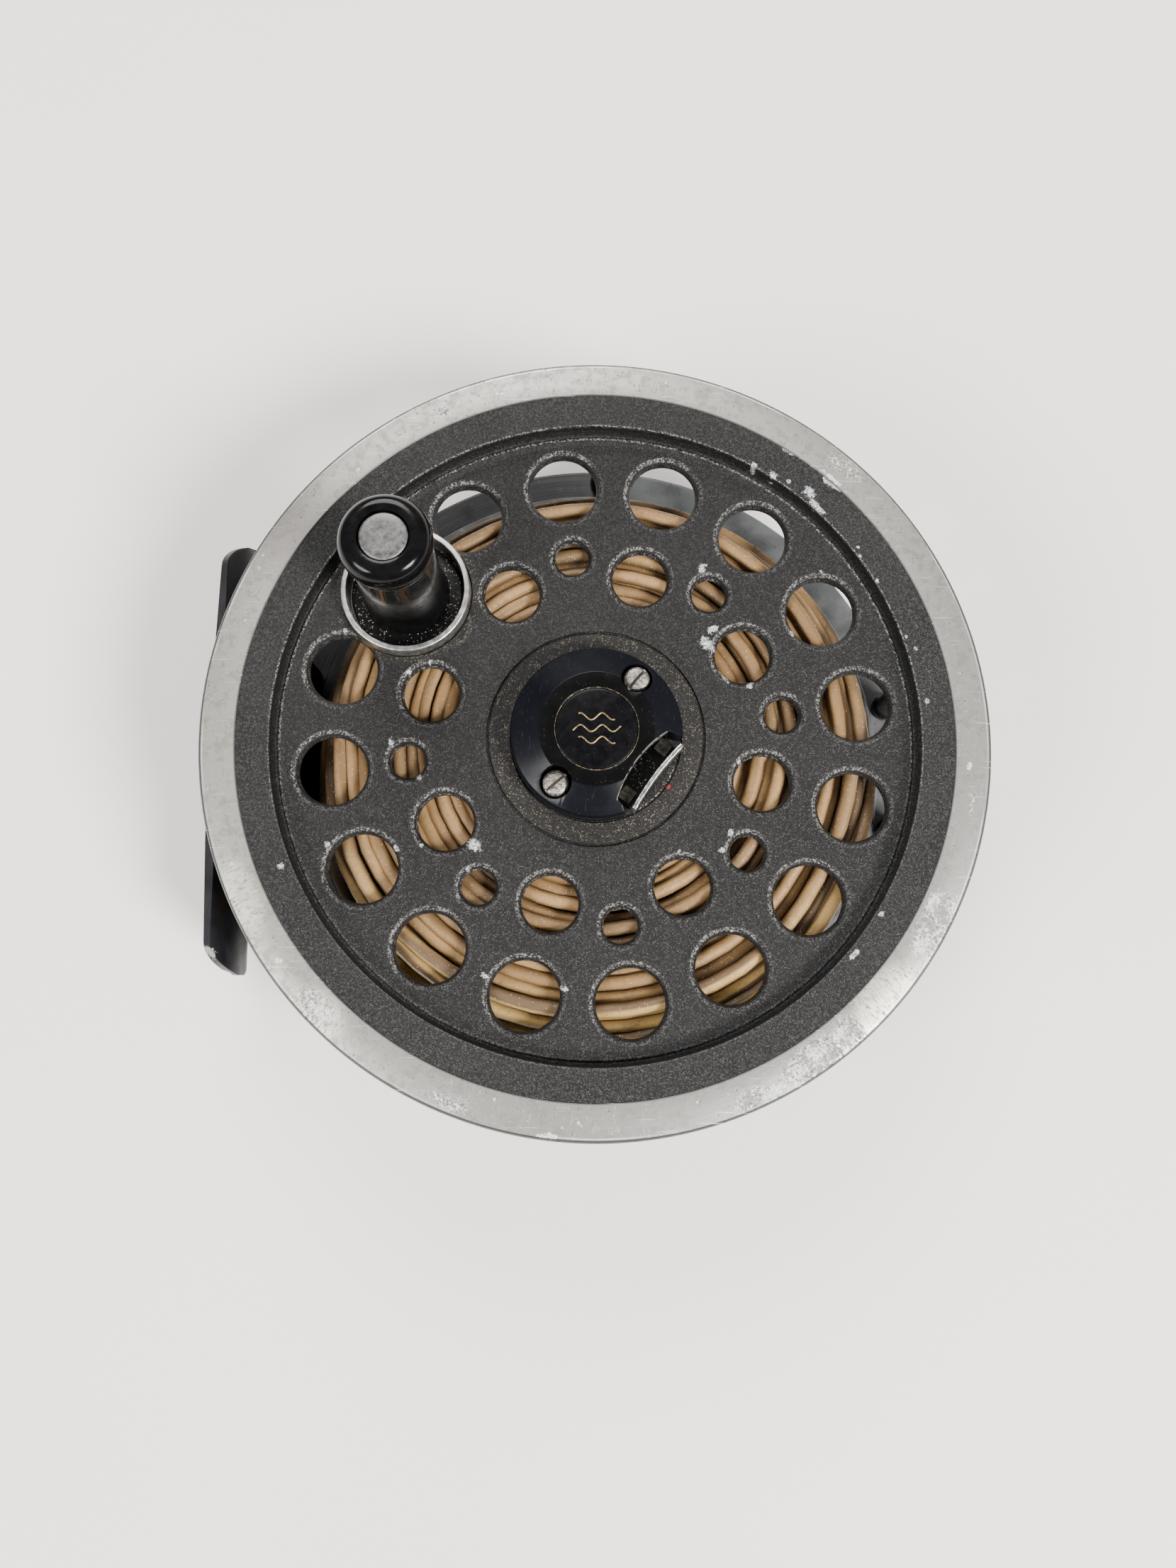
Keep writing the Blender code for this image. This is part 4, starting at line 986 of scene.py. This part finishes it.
def build_handle():
    """The ring, seat and riveted pin on the spool, and the knob that turns on the pin."""
    turned_piece("look_handle_ring", [
        (7.45, 30.22, 0.08), (8.1, 30.18, 0.2), (8.15, 26.8, 0.1), (7.35, 26.8), (7.35, 30.1, 0.08),
    ], 128, RING_METAL, "spool", "handle_ring", "bare_rim", HANDLE_XY)
    turned_piece("look_handle_seat", [(7.0, 27.9, 0.3), (7.3, 26.7, 0.1), (1.9, 26.7), (1.9, 28.0)],
                 96, DUSTY, "spool", "handle_seat", "black_plastic", HANDLE_XY)
    turned_piece("look_handle_pin", [
        (0.0, 48.72), (1.6, 48.74), (2.5, 48.78), (2.8, 48.66, 0.16), (2.8, 47.2, 0.1), (1.6, 47.2),
        (1.6, 26.7), (0.0, 26.7),
    ], 96, RIVET_STEEL, "spool", "handle_pin", "steel", HANDLE_XY)
    outline = smooth_curve([
        (2.98, 48.93), (3.3, 48.99), (3.9, 48.98), (4.5, 48.78), (5.0, 48.3), (5.32, 47.6), (5.42, 46.85),
        (5.34, 46.1), (5.12, 45.3), (4.94, 44.5), (4.92, 43.3), (4.95, 41.5), (5.0, 38.5),
        (5.05, 35.0), (5.12, 32.0), (5.24, 30.0), (5.42, 28.4)])
    bore = [(1.8, 28.36), (1.8, 46.95), (2.98, 46.95)]
    knob = turned("look_handle_knob", outline + bore, (*HANDLE_XY, 0.0))
    stand_for(knob, KNOB, "handle", "handle_knob", slot="black_plastic")


# ------ hub

def build_hub():
    """The cap, cut for the latch and for two slotted screws."""
    cap = turned("look_hub_cap", rounded([
        (0.0, CAP_BOSS_Z - 0.3), (5.1, CAP_BOSS_Z - 0.3), (5.16, CAP_BOSS_Z, 0.06), (7.05, CAP_BOSS_Z, 0.25),
        (10.42, 31.66, 0.2), (CAP_R, 31.2, 0.2), (CAP_R, FACE_Z + 0.25), (0.0, FACE_Z + 0.25)]), steps=160)
    cut(cap, block("latch_slot", (14.0, 9.8, 3.2), (0.1, 0.0, 29.3), LATCH_ANGLE))
    side = [(7.05, 5.2), (8.0, 5.45), (8.9, 6.0), (14.0, 7.0)]
    wall_r = 15.5
    wall = arc(wall_r, 160.4, 199.6, 15, (6.15 + wall_r, 0.0))
    notch = extruded("notch", [wall + [(d, -t) for d, t in side] + side[::-1]], 28.05, 37.0)
    notch.rotation_euler = (0.0, 0.0, math.radians(LATCH_ANGLE))
    cut(cap, notch)
    for angle in HUB_SCREW_ANGLES:
        cut(cap, plug(1.95, 37.0, 30.4, polar(HUB_SCREW_RING, angle)))
    bevelled(cap, 0.07)
    stand_for(cap, CAP_ENAMEL, "spool", "hub_cap", slot="black_enamel")
    profile = smooth_curve([(0.0, 32.4), (0.8, 32.37), (1.3, 32.26), (1.6, 32.0), (1.65, 31.7)], 4)
    profile += [(1.65, 30.45), (0.0, 30.45)]
    for number, (angle, slot_turn) in enumerate(zip(HUB_SCREW_ANGLES, (49.0, 40.0)), 1):
        head = slotted_head(f"look_hub_screw_{number}", profile, 64, (4.125, 0.36, 0.8), 32.4, slot_turn,
                            0.06, 2)
        head.location = Vector((*polar(HUB_SCREW_RING, angle), 0.0)) * MM
        stand_for(head, HUB_SCREW_STEEL, "spool", f"hub_screw_{number}", slot="steel")


def build_badge():
    """A plain disc with a worn gilt ring and a water mark of three waves."""
    turned_piece("look_hub_badge", [
        (0.0, CAP_BOSS_Z + 0.12), (4.6, CAP_BOSS_Z + 0.1), (4.98, CAP_BOSS_Z + 0.02, 0.1),
        (5.02, CAP_BOSS_Z - 0.25), (0.0, CAP_BOSS_Z - 0.25),
    ], 96, BADGE, "spool", "hub_badge", "badge_black")
    circle = [(*p, CAP_BOSS_Z - 0.02) for p in arc(5.09, 0.0, 356.0, 90)]
    stand_for(wire("look_badge_ring", circle, 0.055, True), RING_GILT, "spool", slot="badge_black")
    for row in (-1, 0, 1):
        half = 2.9 - 0.7 * abs(row)
        wave = []
        for i in range(41):
            along = -half + 2.0 * half * i / 40
            wave.append((along, row * 1.45 + 0.42 * math.sin(along * 2.4), CAP_BOSS_Z + 0.10))
        stand_for(wire(f"look_badge_wave_{row + 2}", wave, 0.11), GILT, "spool", slot="badge_black")


def build_latch():
    """Thumb tab, dark keyhole plate and two lugs; they slide as one piece."""
    half, bow_r = 4.95, 34.0
    bow = math.degrees(half / bow_r)
    inner = LATCH_TAB_R - 0.36
    outer = LATCH_TAB_R + 0.14
    outline = (arc(bow_r, 180.0 - bow, 180.0 + bow, 15, (inner + bow_r, 0.0))
               + arc(bow_r, 180.0 + bow, 180.0 - bow, 15, (outer + bow_r, 0.0)))
    tab = extruded("look_latch_tab", [outline], 28.5, 32.2)
    keyhole = arc(2.7, 90.0, 270.0, 15) + arc(2.7, -90.0, 90.0, 15, (1.6, 0.0))
    plate = extruded("look_latch_keyhole", [[(-4.6, -3.6), (-3.6, -4.6), (8.7, -4.6), (8.7, 4.6), (-3.6, 4.6),
                                             (-4.6, 3.6)], keyhole], 28.5, 29.3)
    lugs = [block(f"look_latch_lug_{number}", (1.75, 1.75, 1.9), (7.55, t, 29.65))
            for number, t in enumerate((3.6, -3.8), 1)]
    for piece in (tab, plate, *lugs):
        bevelled(piece, 0.07)
        piece.rotation_euler = (0.0, 0.0, math.radians(LATCH_ANGLE))
    stand_for(tab, TAB_STEEL, "latch", "latch_plate", slot="steel")
    stand_for(plate, DUSTY, "latch", slot="steel")
    for lug in lugs:
        stand_for(lug, LUG_METAL, "latch", slot="steel")


# ------ frame

def build_back_plate():
    plate = turned("look_back_plate", rounded([
        (44.6, 5.6, 0.4), (44.6, 0.0, 0.6), (39.6, 0.0, 0.4), (39.3, 2.0, 0.3), (2.7, 2.0), (2.7, 3.4),
        (33.0, 3.4, 0.5), (33.0, 5.6, 0.3)]), steps=192)
    for angle in PILLAR_ANGLES:
        cut(plate, plug(1.8, 1.5, -0.5, polar(PILLAR_SCREW_RING_R, angle), 32))
    cut(plate, plug(2.0, 4.5, 1.0, DRAG_POST, 32))
    bevelled(plate, 0.12)
    stand_for(plate, SATIN, "frame", "back_plate", slot="black_enamel")


def build_ring_and_pillars():
    turned_piece("look_front_ring", [
        (45.6, 28.3, 0.4), (45.6, 24.6, 0.5), (41.9, 24.6, 0.4), (41.9, 28.3, 0.3),
    ], 192, ENAMEL, "frame", "front_ring", "black_enamel")
    profile = rounded([(0.0, 1.25), (1.48, 1.25), (1.5, 0.15, 0.2), (0.0, 0.15)])
    for number, angle in enumerate(PILLAR_ANGLES, 1):
        turned_piece(f"look_pillar_{number}", [
            (0.0, 24.5), (1.9, 24.5, 0.15), (1.85, 23.6, 0.3), (1.55, 22.6, 0.8), (1.55, 7.6, 0.8),
            (1.85, 6.6, 0.3), (1.9, 5.7, 0.15), (0.0, 5.7),
        ], 48, ENAMEL, "frame", f"pillar_{number}", "black_enamel", polar(PILLAR_RING_R, angle))
        screw = slotted_head(f"look_pillar_screw_{number}", profile, 48, (5.0, 0.42, 1.0), 0.15,
                             25.0 * number, 0.05, 1)
        x, y = polar(PILLAR_SCREW_RING_R, angle)
        screw.location = (x * MM, y * MM, 0.0)
        stand_for(screw, SCREW_STEEL, "frame", f"pillar_screw_{number}", slot="steel")


def build_foot_block():
    outline = arc(41.2, 160.5, 199.5, 33) + [(-45.6, -14.0), (-46.2, -13.8), (-46.6, -13.0), (-46.6, 13.0),
                                             (-46.2, 13.8), (-45.6, 14.0)]
    foot_block = extruded("look_foot_block", [outline], 5.75, 23.85)
    bevelled(foot_block, 0.35, 3)
    stand_for(foot_block, ENAMEL, "frame", "foot_block", slot="black_enamel")


def foot_half_width(along):
    """Half width of the foot at a place along it, -1 to 1."""
    start = 0.86
    t = max(abs(along) - start, 0.0) / (1.0 - start)
    return FOOT_HALF_WIDTH * math.sqrt(max(1.0 - 0.96 * t * t, 0.0))


def build_reel_foot():
    """A saddle hollowed to the rod, thinner towards its rounded ends, and its two screws."""
    rows, columns = 96, 32
    inner_x, flat_half, curve_r = -46.9, 1.2, 12.0
    shape = bmesh.new()
    bmesh.ops.create_grid(shape, x_segments=rows, y_segments=columns, size=0.5)
    for vert in shape.verts:
        along = vert.co.x * 2.0
        z = vert.co.y * 2.0 * foot_half_width(along)
        over = max(abs(z) - flat_half, 0.0)
        x = inner_x - (curve_r - math.sqrt(curve_r ** 2 - over ** 2))
        vert.co = Vector((x, along * FOOT_HALF_LENGTH, z)) * MM
    mesh = filled(bpy.data.meshes.new("look_reel_foot"), shape)
    foot = new_object("look_reel_foot", mesh, (0.0, 0.0, FOOT_MID_Z))
    thin = foot.vertex_groups.new(name="thickness")
    for vert in mesh.vertices:
        along = abs(vert.co.y) / (FOOT_HALF_LENGTH * MM)
        thin.add([vert.index], 1.0 - 0.45 * max(along - 0.4, 0.0) / 0.6, "REPLACE")
    solid = foot.modifiers.new("thickness", "SOLIDIFY")
    solid.thickness = 1.8 * MM
    solid.offset = -1.0
    solid.vertex_group = "thickness"
    solid.use_even_offset = True
    bake(foot)
    for y in FOOT_SCREW_YS:
        hole = plug(2.3, 5.0, -5.0)
        hole.rotation_euler = (0.0, math.radians(90.0), 0.0)
        hole.location = (-49.0 * MM, y * MM, FOOT_MID_Z * MM)
        cut(foot, hole)
    bevelled(foot, 0.3, 3, 40.0)
    stand_for(foot, FOOT_ENAMEL, "frame", "reel_foot", slot="black_enamel")
    dome = rounded([(0.0, 0.85), (1.2, 0.8), (2.0, 0.4, 0.2), (2.0, 0.05), (0.0, 0.05)])
    for number, y in enumerate(FOOT_SCREW_YS, 1):
        screw = slotted_head(f"look_foot_screw_{number}", dome, 64, (6.0, 0.5, 0.9), 0.85, 30.0 * number,
                             0.06, 2)
        screw.rotation_euler = (0.0, math.radians(-90.0), 0.0)
        screw.location = (-48.0 * MM, y * MM, FOOT_MID_Z * MM)
        stand_for(screw, SCREW_STEEL, "frame", f"foot_screw_{number}", slot="steel")


def build_back_fittings():
    """The boss behind the spindle and the milled knob of the drag regulator."""
    turned_piece("look_rear_boss", [
        (0.0, 1.8), (7.0, 1.8, 0.1), (7.0, 0.0, 0.4), (4.6, 0.0, 0.1), (4.5, 0.25, 0.05), (4.2, 0.25, 0.05),
        (4.1, 0.0, 0.1), (0.0, 0.0),
    ], 96, BOSS_METAL, "frame", "rear_boss", "steel")
    knob = turned("look_drag_knob", rounded([
        (0.0, 5.4), (2.6, 5.4, 0.2), (2.6, 3.6), (1.8, 3.6), (1.8, 1.8), (5.7, 1.8, 0.2), (6.0, 1.5, 0.1),
        (6.0, 0.4, 0.2), (5.4, 0.12, 0.2), (3.2, 0.12, 0.1), (2.9, 0.5, 0.2), (0.0, 0.55)]), steps=144)
    notches = 24
    cut(knob, joined([plug(0.42, 1.7, -0.5, polar(6.12, 360.0 / notches * k), 12) for k in range(notches)]))
    bevelled(knob, 0.06, 1, 40.0)
    knob.location = (DRAG_POST[0] * MM, DRAG_POST[1] * MM, 0.0)
    stand_for(knob, KNOB, "regulator", "drag_knob", slot="black_plastic")


def finish_kept_nodes():
    """Better materials for the CAD pieces that stay visible."""
    finishes = {"spindle": TAB_STEEL, "pawl_post": SCREW_STEEL, "spring_post": SCREW_STEEL,
                "click_spring": TAB_STEEL, "latch_spring": TAB_STEEL, "click_pawl": SCREW_STEEL,
                "thrust_washer": BRASS, "spindle_bush": BRASS, "ratchet_gear": BRASS}
    for name, material in finishes.items():
        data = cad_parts[name].data
        data.materials.clear()
        data.materials.append(material)


# ------ stage, light and camera

def build_floor():
    shape = bmesh.new()
    bmesh.ops.create_grid(shape, x_segments=2, y_segments=2, size=1.5)
    floor = new_object("floor", filled(bpy.data.meshes.new("floor"), shape))
    floor.data.materials.append(paper_floor())


def area_light(name, place, size, watts, colour):
    """A soft box aimed at the reel; its place is in metres."""
    data = bpy.data.lights.new(name, "AREA")
    data.shape = "DISK"
    data.size = size
    data.energy = watts
    data.color = colour
    light = new_object(name, data)
    light.location = place
    aim = Vector((0.0, 0.0, 0.02)) - light.location
    light.rotation_euler = aim.to_track_quat("-Z", "Y").to_euler()


def build_lights():
    area_light("key", (0.80, -0.62, 1.05), 0.50, 50.0, (1.0, 0.975, 0.945))
    area_light("window", (-0.85, -0.55, 0.95), 0.60, 21.0, (1.0, 0.985, 0.965))
    area_light("back", (-0.15, 0.95, 0.95), 0.70, 17.0, (1.0, 0.98, 0.96))
    world = bpy.data.worlds.new("studio")
    world.use_nodes = True
    world.node_tree.nodes["Background"].inputs[0].default_value = (1.0, 0.985, 0.97, 1.0)
    world.node_tree.nodes["Background"].inputs[1].default_value = 0.36
    bpy.context.scene.world = world


def build_camera():
    data = bpy.data.cameras.new("camera")
    data.sensor_width = 36.0
    data.lens = 28.97
    camera = new_object("camera", data)
    camera.location = (-2.8 * MM, -31.0 * MM, (RIM_PLANE_Z + 152.6) * MM)
    camera.rotation_euler = (0.161, -0.0117, 0.0)
    bpy.context.scene.camera = camera


build_rim()
build_front_flange()
build_rear_flange_and_drum()
build_fly_line()
build_handle()
build_hub()
build_badge()
build_latch()
build_back_plate()
build_ring_and_pillars()
build_foot_block()
build_reel_foot()
build_back_fittings()
finish_kept_nodes()
build_floor()
build_lights()
build_camera()
